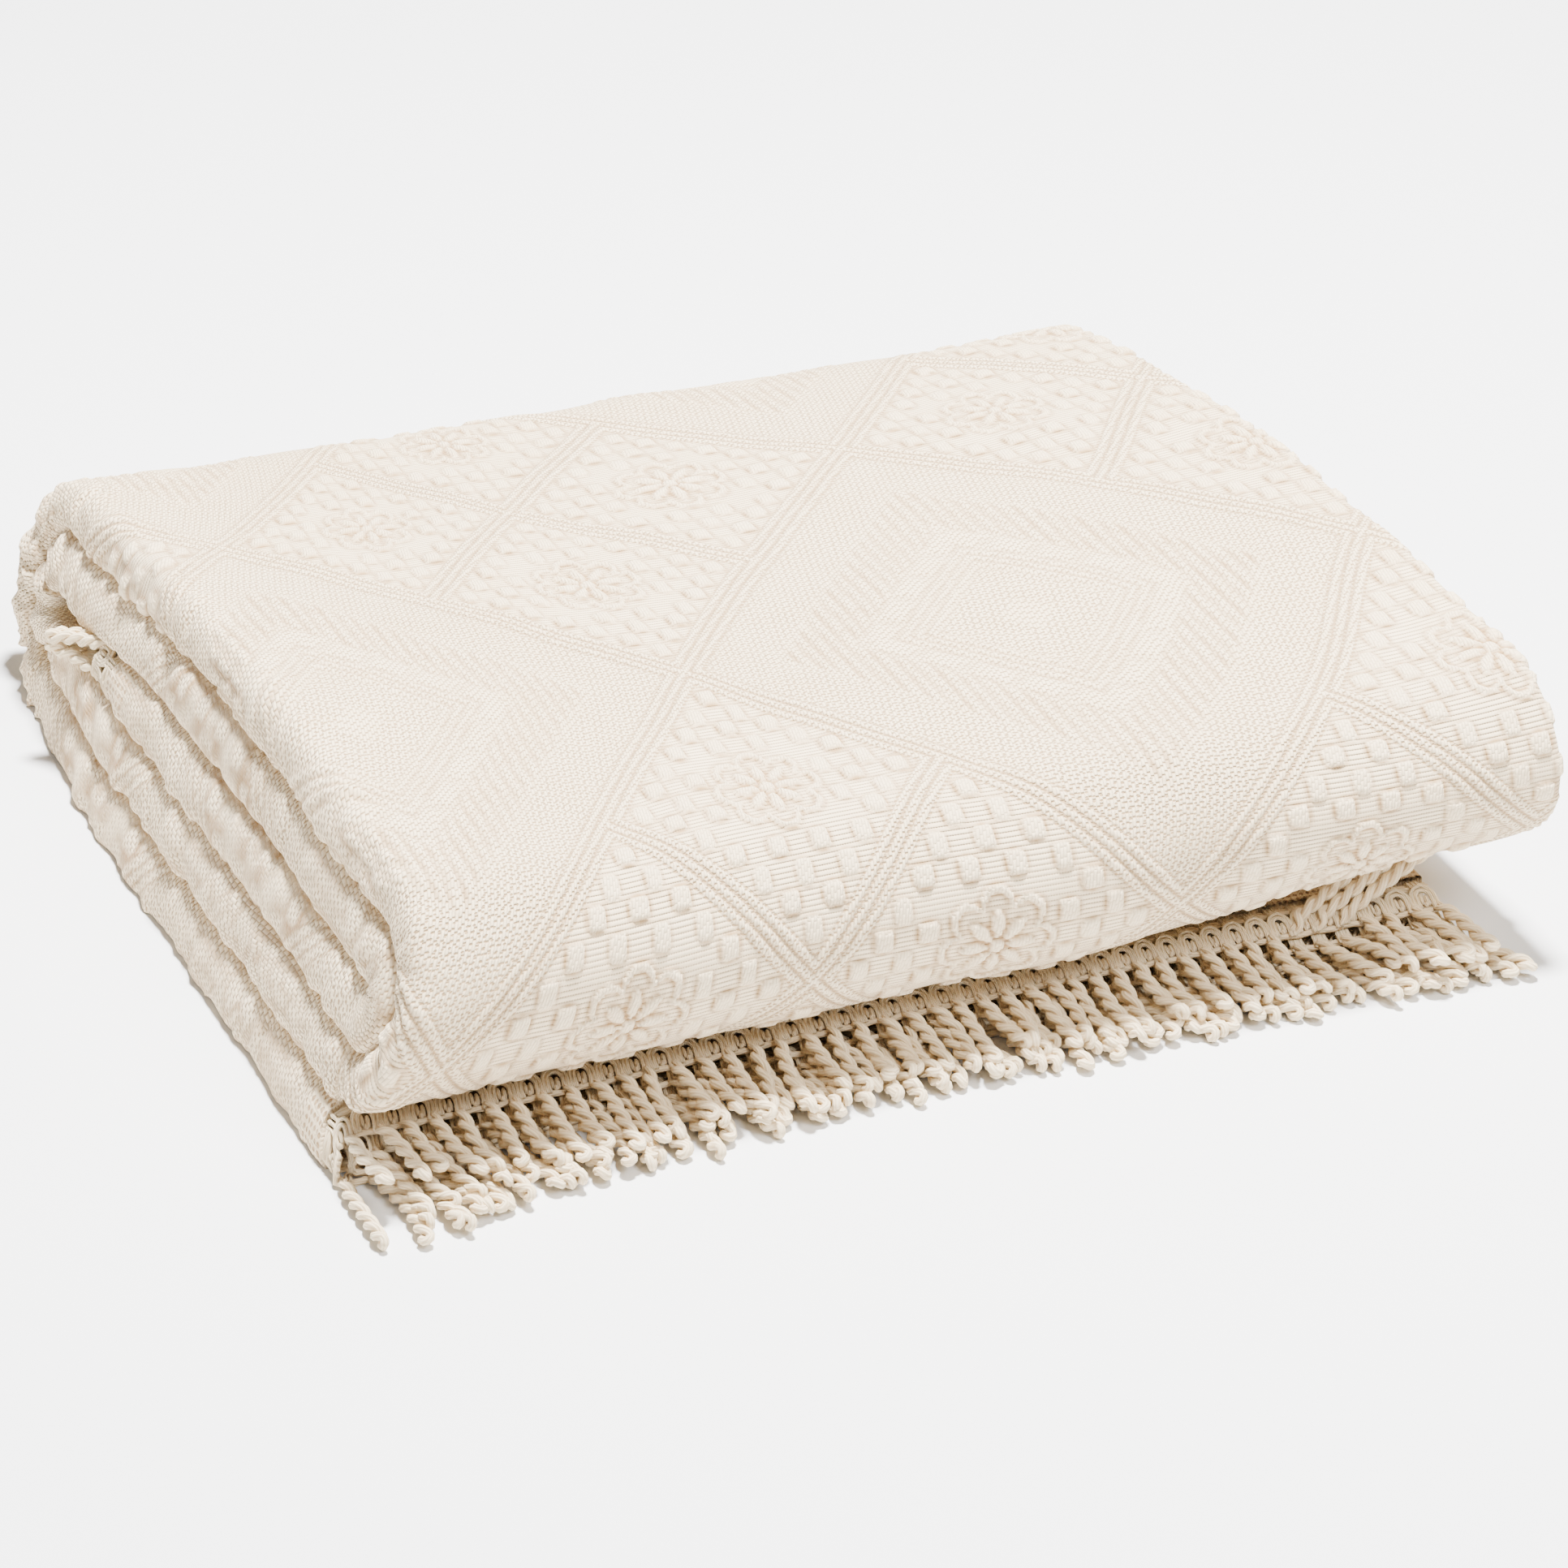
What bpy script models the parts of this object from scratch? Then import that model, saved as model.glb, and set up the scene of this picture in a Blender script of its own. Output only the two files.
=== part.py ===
"""Folded cotton bedspread with a twisted fringe, in metres, +Z up, standing on z = 0.

The flat sheet is folded into four plies across its width, along X, and that pack of plies is then
rolled flat, front over back, into five bands. X runs from the rolled end on the left to the edges
on the right, -Y is the front with the round nose and the fringed hem, and the origin is the middle
of the underside.
"""

import math

import bmesh
import bpy

# The cloth and the folded pack
CLOTH = 0.0034
PLY = 0.0060
BAND = 4 * PLY
WIDTH = 0.570
RUN = 0.434
FREE_EDGE_INSET = 0.006

# The front hem under the nose, and the inner hem at the end of the last band
HEM_Y = -0.004
HEM_STAGGER = 0.0028
INNER_HEM_Y = 0.325

# How the bundle departs from a true block
CROWN = 0.145
CROWN_AT = 0.69
CROWN_FALL = 0.595
MIDDLE_SAG = 0.090
BOW = 0.008
LEAN = 0.0083
LEAN_REACH = 0.30
RIGHT_FROM = 0.55
CORNER_DROP = 0.20
CORNER_REACH = 0.35
NOSE_LIFT = 0.024
NOSE_FROM = 0.286
FIRST_BAND_INSET = 0.036
INSET_FROM = 0.40
RIPPLE = 0.0016
RIPPLE_WAVES = 9
RIPPLE_CLIMB = 5.0
RIPPLE_REACH = 0.07
BACK_FROM = 0.04
BACK_REACH = 0.40
BACK_TUCK = 0.016
BACK_TUCK_WIDTH = 0.080
LEFT_TUCK = 0.006
LEFT_TUCK_WIDTH = 0.120

# The fringe: a header sewn to the hem, and twisted strands
SEAM_GAP = 0.0008
HEADER = 0.0085
STRAND = 0.0048
STRAND_LENGTH = 0.056
STRAND_PITCH = 0.0126
RIGHT_SHORTER = 0.010
MIDDLE_SHORTER = 0.005
LENGTH_CHANGE = 0.0034
LENGTH_STEPS = (1.7, 0.5)
TIP_SPACING = 0.0051
FAN_LEFT = 0.006
FAN_RIGHT = 0.018
FAN_REACH = 0.10
SWAY = 0.0016
SWAY_STEPS = (2.4, 0.37)
STRAND_RINGS = (0.16, 0.58, 1.0)

# The inner fringe, of which only the tufts at the rolled end show
TUFT_REACH = 0.060
TUFT_FAN = 0.032
TUFT_LENGTH = 0.045

# The middle of the whole bundle, fringe included, measured from the left roll and the nose's axis
ORIGIN_X = 0.2810
ORIGIN_Y = 0.2144

BASE_LIFT = BAND / 2 - 1.5 * PLY - CLOTH / 2
HEIGHT = 5 * BAND
FIRST_BAND_TOP = BAND / 2 + 1.5 * PLY + CLOTH / 2 - BASE_LIFT + 0.0002

# The way along the pack of four plies, from the lower right free edge.
# Columns: kind, length of a run or radius of a half turn, side it turns to, steps.
LOOP_LEFT_X = 1.5 * PLY + CLOTH / 2
LOOP_RIGHT_X = WIDTH - 0.5 * PLY - CLOTH / 2
FREE_X = WIDTH - FREE_EDGE_INSET
PACK = (
    ("run", FREE_X - LOOP_LEFT_X, None, 5),
    ("turn", 1.5 * PLY, "right", 6),
    ("run", LOOP_RIGHT_X - LOOP_LEFT_X, None, 6),
    ("turn", 0.5 * PLY, "right", 4),
    ("run", LOOP_RIGHT_X - LOOP_LEFT_X, None, 5),
    ("turn", 0.5 * PLY, "left", 4),
    ("run", FREE_X - LOOP_LEFT_X, None, 5),
)

# The way along the flat roll, from the front hem to the inner hem, with the same columns
ROLL = (
    ("run", RUN - HEM_Y, None, 5),
    ("turn", 2.0 * BAND, "left", 9),
    ("run", RUN, None, 6),
    ("turn", 1.5 * BAND, "left", 9),
    ("run", RUN, None, 4),
    ("turn", 1.0 * BAND, "left", 6),
    ("run", RUN, None, 4),
    ("turn", 0.5 * BAND, "left", 5),
    ("run", INNER_HEM_Y, None, 4),
)

ECRU = (0.86, 0.80, 0.70, 1.0)
FRINGE_ECRU = (0.82, 0.72, 0.57, 1.0)


def walk(start, heading, rows):
    """Stations (a, b, normal a, normal b) along straight runs and half turns, the normal to the right."""
    a, b = start
    stations = [(a, b, math.sin(heading), -math.cos(heading))]
    for kind, size, side, steps in rows:
        if kind == "run":
            for _ in range(steps):
                a += size / steps * math.cos(heading)
                b += size / steps * math.sin(heading)
                stations.append((a, b, math.sin(heading), -math.cos(heading)))
            continue
        way = 1 if side == "left" else -1
        centre_a = a - way * size * math.sin(heading)
        centre_b = b + way * size * math.cos(heading)
        for _ in range(steps):
            heading += way * math.pi / steps
            a = centre_a + way * size * math.sin(heading)
            b = centre_b - way * size * math.cos(heading)
            stations.append((a, b, math.sin(heading), -math.cos(heading)))
    return stations


def ease(value):
    """A smooth step from 0 to 1."""
    value = min(max(value, 0.0), 1.0)
    return value * value * (3 - 2 * value)


def settle(x, y, z):
    """Moves a point of the true block to where it lies in the soft bundle, and to the part's origin."""
    across = 2 * x / WIDTH - 1
    middle = 1 - across * across
    forward = (RUN - y) / RUN
    from_crown = (forward - CROWN_AT) ** 2
    right = ease((x / WIDTH - RIGHT_FROM) / (1 - RIGHT_FROM))
    stretch = 1 + CROWN - CROWN_FALL * from_crown / (1 + from_crown) - MIDDLE_SAG * middle
    stretch -= CORNER_DROP * right * ease(CORNER_REACH - forward)
    level = z / HEIGHT
    nose = right * ease((forward - NOSE_FROM) / (1 - NOSE_FROM))
    above_first = ease((z - FIRST_BAND_TOP) / (CLOTH / 2))
    lift = NOSE_LIFT * nose * above_first * max(0.0, 1 - level)
    drawn_in = ease((x / WIDTH - INSET_FROM) / (1 - INSET_FROM)) * ease(forward)
    inset = FIRST_BAND_INSET * drawn_in * (1 - above_first)
    near_left = ease(1 - x / LEAN_REACH)
    lean = LEAN * (z / BAND) * near_left
    rim = math.exp(-x / RIPPLE_REACH)
    ripple = RIPPLE * rim * math.sin(RIPPLE_WAVES * math.tau * y / RUN + RIPPLE_CLIMB * level)
    back = ease((BACK_FROM - forward) / BACK_REACH)
    tuck = BACK_TUCK * back * ease(1 - (WIDTH - x) / BACK_TUCK_WIDTH)
    tuck -= LEFT_TUCK * back * ease(1 - x / LEFT_TUCK_WIDTH)
    z = z * stretch + lift
    if abs(z) < 1e-6:
        z = 0.0
    return (
        x + lean + ripple - tuck - inset - ORIGIN_X,
        y + BOW * middle - ORIGIN_Y,
        z,
    )


def pack_point(side_offset, pack_station, roll_station, hem_shift=0.0):
    """A point of the block: a station of the folded pack carried to a station of the flat roll."""
    x, t, nx, nt = pack_station
    x += side_offset * nx
    t += side_offset * nt
    y, z, ny, nz = roll_station
    return x, y + t * ny + hem_shift * t / PLY, z + t * nz


def new_object(name, mesh, colour, roughness):
    """Finishes a bmesh as one named object with its own material."""
    data = bpy.data.meshes.new(name)
    bmesh.ops.recalc_face_normals(mesh, faces=mesh.faces)
    mesh.to_mesh(data)
    mesh.free()
    material = bpy.data.materials.new(name)
    material.use_nodes = True
    shader = material.node_tree.nodes["Principled BSDF"]
    shader.inputs["Base Color"].default_value = colour
    shader.inputs["Roughness"].default_value = roughness
    shader.inputs["Metallic"].default_value = 0.0
    data.materials.append(material)
    piece = bpy.data.objects.new(name, data)
    bpy.context.scene.collection.objects.link(piece)
    return piece


def build_cloth(pack, roll):
    """The sheet: its folded outline, carried along the flat roll and closed at both hems."""
    mesh = bmesh.new()
    rings = []
    for index, station in enumerate(roll):
        shift = -HEM_STAGGER if index == 0 else 0.0
        upper = [pack_point(CLOTH / 2, p, station, shift) for p in pack]
        lower = [pack_point(-CLOTH / 2, p, station, shift) for p in pack]
        rings.append([[mesh.verts.new(settle(*point)) for point in side] for side in (upper, lower)])
    last = len(pack) - 1
    for (up, low), (next_up, next_low) in zip(rings, rings[1:]):
        for i in range(last):
            mesh.faces.new((up[i], up[i + 1], next_up[i + 1], next_up[i]))
            mesh.faces.new((low[i + 1], low[i], next_low[i], next_low[i + 1]))
        mesh.faces.new((low[0], up[0], next_up[0], next_low[0]))
        mesh.faces.new((up[last], low[last], next_low[last], next_up[last]))
    for up, low in (rings[0], rings[-1]):
        for i in range(last):
            mesh.faces.new((up[i], low[i], low[i + 1], up[i + 1]))
    return new_object("bedspread_cloth", mesh, ECRU, 0.9)


def distances(pack):
    """How far each station of the pack lies along it."""
    found = [0.0]
    for here, there in zip(pack, pack[1:]):
        found.append(found[-1] + math.dist(here[:2], there[:2]))
    return found


def along(pack, distance):
    """The pack's station at a distance along it, between its own stations."""
    for here, there in zip(pack, pack[1:]):
        length = math.dist(here[:2], there[:2])
        if distance <= length:
            share = distance / length
            mixed = [p + (q - p) * share for p, q in zip(here, there)]
            size = math.hypot(mixed[2], mixed[3])
            return mixed[0], mixed[1], mixed[2] / size, mixed[3] / size
        distance -= length
    return pack[-1]


def strand_sway(index):
    """A small steady difference from strand to strand."""
    first, second = SWAY_STEPS
    return SWAY * math.sin(first * index) * math.cos(second * index)


def front_strand(root_x, outer_y, root_z, index):
    """Centres of a front strand's rings: it drops to its row and fans out near both ends of the hem."""
    level = STRAND / 2 + (root_z - CLOTH / 2) * TIP_SPACING / PLY
    left = math.exp(-root_x / FAN_REACH)
    right = math.exp((root_x - WIDTH) / FAN_REACH)
    lean = FAN_RIGHT * right + FAN_LEFT * left + strand_sway(index)
    share = root_x / WIDTH
    first, second = LENGTH_STEPS
    length = STRAND_LENGTH + LENGTH_CHANGE * math.sin(first * index) * math.cos(second * index)
    length -= RIGHT_SHORTER * share + MIDDLE_SHORTER * 4 * share * (1 - share)
    return [(root_x + lean * s, outer_y - length * s, level) for s in STRAND_RINGS]


def inner_strand(root_x, outer_y, root_z, index):
    """Centres of a tuft's rings: it leans out past the rolled end, level with its own ply."""
    middle = 2.5 * BAND - BASE_LIFT
    level = middle + (root_z - middle) * TIP_SPACING / PLY
    lean = -TUFT_FAN * (1 - root_x / TUFT_REACH)
    return [(root_x + lean * s, outer_y + TUFT_LENGTH * s, level) for s in STRAND_RINGS]


def root_order(places, middle):
    """The order in which a root's corners go round its middle, from the lower left."""
    angles = [math.atan2(z - middle[2], x - middle[0]) for x, _, z in places]
    order = sorted(range(4), key=lambda k: angles[k])
    return [order.index(k) for k in range(4)]


def strand_outline(order, turn):
    """Four corners of a strand's ring, an eighth of a turn on for each ring, inside an upright square."""
    reach = math.sqrt(2) if turn % 2 == 0 else 1.0
    angles = [math.pi / 4 * (2 * k - 3 + turn) for k in order]
    return [(reach * math.cos(angle), reach * math.sin(angle)) for angle in angles]


def pitch_marks(pack):
    """Distances that part the hem into pitches, each fold's turning point being one of them."""
    spans = distances(pack)
    folds = [d for d, station in zip(spans, pack) if abs(station[3]) < 1e-6]
    ends = [0.0, *folds, spans[-1]]
    marks = [0.0]
    for start, stop in zip(ends, ends[1:]):
        count = round((stop - start) / STRAND_PITCH)
        marks += [start + (stop - start) * (i + 1) / count for i in range(count)]
    return marks


def build_fringe(name, pack, hem, way, reach, strand):
    """A header that follows the folded hem, with a strand on each pitch up to reach from the left."""
    mesh = bmesh.new()
    marks = pitch_marks(pack)
    bearing = {}
    for index, (start, stop) in enumerate(zip(marks, marks[1:])):
        if along(pack, (start + stop) / 2)[0] < reach:
            bearing[start] = (index, stop)
    breaks = set(bearing) | {stop for _, stop in bearing.values()}
    for distance in distances(pack):
        if all(not start - 1e-3 < distance < stop + 1e-3 for start, (_, stop) in bearing.items()):
            breaks.add(distance)
    breaks = sorted(breaks)
    shift = -HEM_STAGGER if way < 0 else 0.0
    edges = []
    for distance in breaks:
        corners = []
        station = along(pack, distance)
        for offset, out in ((CLOTH / 2, 0.0), (-CLOTH / 2, 0.0), (-CLOTH / 2, HEADER), (CLOTH / 2, HEADER)):
            x, y, z = pack_point(offset, station, hem, shift)
            place = (x, y + way * (SEAM_GAP + out), z)
            corners.append((mesh.verts.new(settle(*place)), place))
        edges.append(corners)
    for end in (edges[0], edges[-1]):
        mesh.faces.new([corner for corner, _ in end])
    for start, here, there in zip(breaks, edges, edges[1:]):
        for k in (0, 1, 3):
            after = (k + 1) % 4
            mesh.faces.new((here[k][0], here[after][0], there[after][0], there[k][0]))
        root = [here[2], here[3], there[3], there[2]]
        ring = [corner for corner, _ in root]
        if start in bearing:
            index, stop = bearing[start]
            x, y, z = pack_point(0.0, along(pack, (start + stop) / 2), hem, shift)
            middle = (x, y + way * (SEAM_GAP + HEADER), z)
            order = root_order([place for _, place in root], middle)
            for turn, (x, y, z) in enumerate(strand(*middle, index)):
                outline = []
                for a, b in strand_outline(order, turn):
                    outline.append(mesh.verts.new(settle(x + a * STRAND / 2, y, z + b * STRAND / 2)))
                for k in range(4):
                    after = (k + 1) % 4
                    mesh.faces.new((ring[k], ring[after], outline[after], outline[k]))
                ring = outline
        mesh.faces.new(ring)
    return new_object(name, mesh, FRINGE_ECRU, 0.92)


def clear_scene():
    for item in list(bpy.data.objects):
        bpy.data.objects.remove(item, do_unlink=True)


clear_scene()
pack_stations = walk((FREE_X, -1.5 * PLY), math.pi, PACK)
roll_stations = walk((HEM_Y, BAND / 2 - BASE_LIFT), 0.0, ROLL)
build_cloth(pack_stations, roll_stations)
build_fringe("front_fringe", pack_stations, roll_stations[0], -1, WIDTH, front_strand)
build_fringe("inner_fringe", pack_stations, roll_stations[-1], 1, TUFT_REACH, inner_strand)
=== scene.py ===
import math

import bpy
import numpy as np
from mathutils import Matrix, Vector


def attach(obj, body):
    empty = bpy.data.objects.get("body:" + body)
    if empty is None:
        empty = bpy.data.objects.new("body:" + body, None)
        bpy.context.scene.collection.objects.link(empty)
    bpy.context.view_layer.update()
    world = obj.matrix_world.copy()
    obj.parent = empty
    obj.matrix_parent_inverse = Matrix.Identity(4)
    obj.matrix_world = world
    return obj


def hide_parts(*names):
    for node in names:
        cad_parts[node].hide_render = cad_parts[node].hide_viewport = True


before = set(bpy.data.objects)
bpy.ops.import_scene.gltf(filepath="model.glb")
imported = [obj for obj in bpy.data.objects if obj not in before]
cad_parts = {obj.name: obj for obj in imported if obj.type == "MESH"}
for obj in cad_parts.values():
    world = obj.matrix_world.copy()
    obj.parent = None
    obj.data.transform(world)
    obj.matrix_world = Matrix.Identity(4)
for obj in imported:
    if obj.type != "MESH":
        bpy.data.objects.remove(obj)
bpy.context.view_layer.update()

# Bedspread, how it is folded: one sheet of heavy ecru cotton, 3.4 mm thick with its raised weave,
# folded in four across its width and then rolled flat. Two plans, along the pack of four plies
# and along the roll, give every point of it, and settle() lets that true block sink and lean.
# Lengths are in metres. In the true block the loops are at x = 0, and the front turns begin at y = 0.
CLOTH = 0.0034
PLY = 0.0060
BAND = 4 * PLY
WIDTH = 0.570
RUN = 0.434
FREE_EDGE_INSET = 0.006
HEM_Y = -0.004
HEM_STAGGER = 0.0028
INNER_HEM_Y = 0.325
HEIGHT = 5 * BAND
BASE_LIFT = BAND / 2 - 1.5 * PLY - CLOTH / 2
OUTER = 1.5 * PLY + CLOTH / 2
LOOP_LEFT_X = OUTER
LOOP_RIGHT_X = WIDTH - 0.5 * PLY - CLOTH / 2
FREE_X = WIDTH - FREE_EDGE_INSET
ROUNDING = 0.0001
FIRST_BAND_TOP = BAND / 2 + OUTER - BASE_LIFT + 2 * ROUNDING
ORIGIN_X, ORIGIN_Y = 0.2810, 0.2144

# How the bundle settles: a crown that falls away from the nose, a low middle, a bowed back, a lean
# of the left end, a dropped corner and a lifted nose on the right, a first band drawn in, a hollow
# drawn together in the middle of the roll, and a back tucked in at its ends.
CROWN = 0.145
CROWN_AT = 0.69
CROWN_FALL = 0.595
MIDDLE_SAG = 0.090
BOW = 0.008
LEAN = 0.0083
LEAN_REACH = 0.30
RIGHT_FROM = 0.55
CORNER_DROP = 0.20
CORNER_REACH = 0.35
NOSE_LIFT = 0.024
NOSE_FROM = 0.286
FIRST_BAND_INSET = 0.036
INSET_FROM = 0.40
GATHER = 0.74
GATHER_Y, GATHER_Z = 0.388, 0.0585
GATHER_REACH_Y, GATHER_REACH_Z = 0.050, 0.024
GATHER_DEPTH = 0.075
BACK_FROM = 0.04
BACK_REACH = 0.40
BACK_TUCK = 0.016
BACK_TUCK_WIDTH = 0.080
LEFT_TUCK = 0.006
LEFT_TUCK_WIDTH = 0.120
LOW_TUCK, LOW_TUCK_BEHIND, LOW_TUCK_REACH, LOW_TUCK_TOP = 0.011, 0.120, 0.150, 0.068

# The loops at the rolled end: how much fuller and squarer they are than a half round, how far in
# from the end that reaches, and the share of the radius from which the inner loop follows too.
LOOP_FILL = 0.22
LOOP_SQUARE = 0.72
LOOP_REACH = 0.040
LOOP_TIP = 0.4


def walk(start, heading, rows):
    """Stations (a, b, normal a, normal b) along straight runs and half turns, the normal to the right."""
    a, b = start
    stations = [(a, b, math.sin(heading), -math.cos(heading))]
    for kind, size, side, steps in rows:
        if kind == "run":
            for _ in range(steps):
                a += size / steps * math.cos(heading)
                b += size / steps * math.sin(heading)
                stations.append((a, b, math.sin(heading), -math.cos(heading)))
            continue
        way = 1 if side == "left" else -1
        centre_a = a - way * size * math.sin(heading)
        centre_b = b + way * size * math.cos(heading)
        for _ in range(steps):
            heading += way * math.pi / steps
            a = centre_a + way * size * math.sin(heading)
            b = centre_b - way * size * math.cos(heading)
            stations.append((a, b, math.sin(heading), -math.cos(heading)))
    return np.array(stations)


def steps_to(rows, count):
    """How many steps the first rows of a way have."""
    return sum(row[3] for row in rows[:count])


def ease(value):
    """A smooth rise from 0 to 1."""
    value = np.clip(value, 0.0, 1.0)
    return value * value * (3 - 2 * value)


def settle(x, y, z):
    """Moves points of the true block to where they lie in the soft bundle, and to the part's origin."""
    from_y, from_z = y - GATHER_Y, z - GATHER_Z
    gather = GATHER * np.exp(-(from_y / GATHER_REACH_Y) ** 2 - (from_z / GATHER_REACH_Z) ** 2)
    gather = gather * (ease(1 - x / GATHER_DEPTH) + ease(1 - (WIDTH - x) / GATHER_DEPTH))
    y, z = y - gather * from_y, z - gather * from_z
    across = 2 * x / WIDTH - 1
    middle = 1 - across * across
    forward = (RUN - y) / RUN
    from_crown = (forward - CROWN_AT) ** 2
    right = ease((x / WIDTH - RIGHT_FROM) / (1 - RIGHT_FROM))
    stretch = 1 + CROWN - CROWN_FALL * from_crown / (1 + from_crown) - MIDDLE_SAG * middle
    stretch = stretch - CORNER_DROP * right * ease(CORNER_REACH - forward)
    level = z / HEIGHT
    nose = right * ease((forward - NOSE_FROM) / (1 - NOSE_FROM))
    above_first = ease((z - FIRST_BAND_TOP) / (CLOTH / 2))
    lift = NOSE_LIFT * nose * above_first * np.maximum(0.0, 1 - level)
    drawn_in = ease((x / WIDTH - INSET_FROM) / (1 - INSET_FROM)) * ease(forward)
    inset = FIRST_BAND_INSET * drawn_in * (1 - above_first)
    near_left = ease(1 - x / LEAN_REACH)
    lean = LEAN * (z / BAND) * near_left
    back = ease((BACK_FROM - forward) / BACK_REACH)
    tuck = BACK_TUCK * back * ease(1 - (WIDTH - x) / BACK_TUCK_WIDTH)
    tuck = tuck - LEFT_TUCK * back * ease(1 - x / LEFT_TUCK_WIDTH)
    low_back = ease((y - RUN + LOW_TUCK_BEHIND) / LOW_TUCK_REACH) * ease(1 - z / LOW_TUCK_TOP)
    tuck = tuck - LOW_TUCK * low_back * ease(1 - x / LEFT_TUCK_WIDTH)
    return np.stack([
        x + lean - tuck - inset - ORIGIN_X,
        y + BOW * middle - ORIGIN_Y,
        np.maximum(z * stretch + lift, 0.0),
    ], axis=-1)


def unit(ways):
    """Directions made one long."""
    return ways / np.maximum(np.linalg.norm(ways, axis=-1, keepdims=True), 1e-12)


def way_along(line):
    """How far each point lies along a line."""
    return np.concatenate([[0.0], np.cumsum(np.linalg.norm(np.diff(line, axis=0), axis=1))])


def lengths(stations, offset=0.0):
    """How far each station lies along its way, measured on the line lifted off by offset."""
    return way_along(stations[:, :2] + offset * stations[:, 2:])


def swollen(pack, outer_side=1.0):
    """The pack with its left loop filled out as the soft folds are, fuller and squarer than a half round.

    The share of the filling on the outer side of the roll is given by outer_side.
    """
    pack = pack.copy()
    radius = 1.5 * PLY
    out = (LOOP_LEFT_X - pack[:, 0]) / radius
    outer = abs(pack[:, 1]) > PLY / 2 + ROUNDING
    loop = (out > 0) & (outer | (out > LOOP_TIP))
    angle = np.arctan2(pack[:, 1], np.maximum(out, 0.0) * radius)
    fuller = LOOP_FILL * ease(1 + out * radius / LOOP_REACH) * (outer | (out > LOOP_TIP))
    pack[loop, 0] = (LOOP_LEFT_X - radius * np.cos(angle) ** LOOP_SQUARE)[loop]
    pack[loop, 1] = (radius * np.sign(np.sin(angle)) * abs(np.sin(angle)) ** LOOP_SQUARE)[loop]
    pack[:, 1] *= 1 + fuller * np.where(pack[:, 1] > 0, outer_side, 1.0)
    ahead = unit(np.gradient(pack[:, :2], axis=0))
    near = (pack[:, 0] < LOOP_LEFT_X + LOOP_REACH) & outer
    pack[near, 2:] = np.stack([ahead[:, 1], -ahead[:, 0]], -1)[near]
    return pack


def carried(pack, roll, offset, shift=0.0):
    """Points of the cloth at every station of the pack and the roll, lifted off its middle by offset."""
    x = pack[:, None, 0] + offset * pack[:, None, 2]
    t = pack[:, None, 1] + offset * pack[:, None, 3]
    y = roll[None, :, 0] + t * roll[None, :, 2] + shift * t / PLY
    z = roll[None, :, 1] + t * roll[None, :, 3]
    return settle(x + 0 * y, y, z)


# Bedspread, its weave: a lattice of corded bands parts the cloth into diamonds of two kinds. One
# kind is four small diamonds of ribs with raised bricks round a rosette, the other a set of
# diamonds inside each other. Its yarns float up to two millimetres high, which is real relief.
# The lattice is in metres, and its figures are in millimetres.
CELL_HALF_WIDTH = 0.1684
CELL_HALF_LENGTH = 0.2067
LATTICE_X = 0.2197
LATTICE_V = 0.3135
BAND_APART = 261.1
CORD_PITCH = 5.3
CORD_HEIGHT = 1.0
BAND_REACH, BAND_EDGE = 1.5 * CORD_PITCH, (1.4 * CORD_PITCH, 1.7 * CORD_PITCH)
BRICK_STEPS = 8
BRICK_RINGS = (4, 6)
BRICK_HALF_WIDTH, BRICK_HALF_LENGTH, BRICK_HEIGHT = 4.2, 5.7, 1.8
BRICK_UNEVEN, BRICK_ASTRAY, BRICK_SINK = 0.10, (0.5, 0.6), 0.15
BRICK_EDGE = (0.78, 1.08)
FLOATS_PER_MM = 1.6
ROSETTE_WIDER, ROSETTE_SHORTER = 0.92, 1.06
KNOB_EDGE = (2.6, 4.0)
LEAVES = 8
LEAF_START, LEAF_END, LEAF_HALF_WIDTH, LEAF_EDGE = 4.5, 18.5, 3.2, (0.4, 1.15)
PETAL_REACH, PETAL_DIP, PETAL_ROUND, PETAL_CORD = 27.0, 7.5, 2.2, 1.6
ROSETTE_HEIGHT = 1.7
PETAL_STITCH = 4.8

# The nested diamonds, from the middle outwards, in shares of the way to the corded band
QUIET_MIDDLE, QUIET_MIDDLE_EDGE = 0.235, (0.06, 0.08)
RING_AT, RING_SCALE, RING_CORD = 0.30, 130.5, 5.0
BLOCKS_START, BLOCKS_END = (0.365, 0.39), (0.445, 0.47)
BLOCK_WAY, BLOCK_PITCH = (0.63, 0.78), 24.0
BARS_START, BARS_END = (0.465, 0.485), (0.69, 0.71)
BAR_ROW_START, BAR_ROW, BAR_PITCH = 0.475, 0.075, 6.7
QUIET_EDGE = (0.70, 0.72)
BAR_HEIGHT, BLOCK_HEIGHT, RING_HEIGHT = 0.85, 0.75, 0.85

# Where the cloth was pulled askew as it was folded. Columns, in mm: across, along, shift across,
# shift along.
PULLED = (
    (219, 311, 1, 2), (111, 421, 24, -4), (300, 417, 3, -1), (209, 513, 11, 7), (387, 518, 1, 2),
    (391, 103, -3, 4), (297, 220, 6, -10), (206, 110, 14, -3), (114, 196, 21, 14), (300, 20, 4, -17),
    (135, 5, 0, -2), (556, 307, 0, 6), (477, 437, -5, -20), (480, 203, -8, 7), (555, 85, 2, 22),
    (27, 487, 30, -4),
)
PULL_REACH = 72.0
PULL_HOLD = 0.02


def smooth_step(value, low, high):
    """A smooth rise from 0 at low to 1 at high."""
    return ease((value - low) / (high - low))


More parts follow.
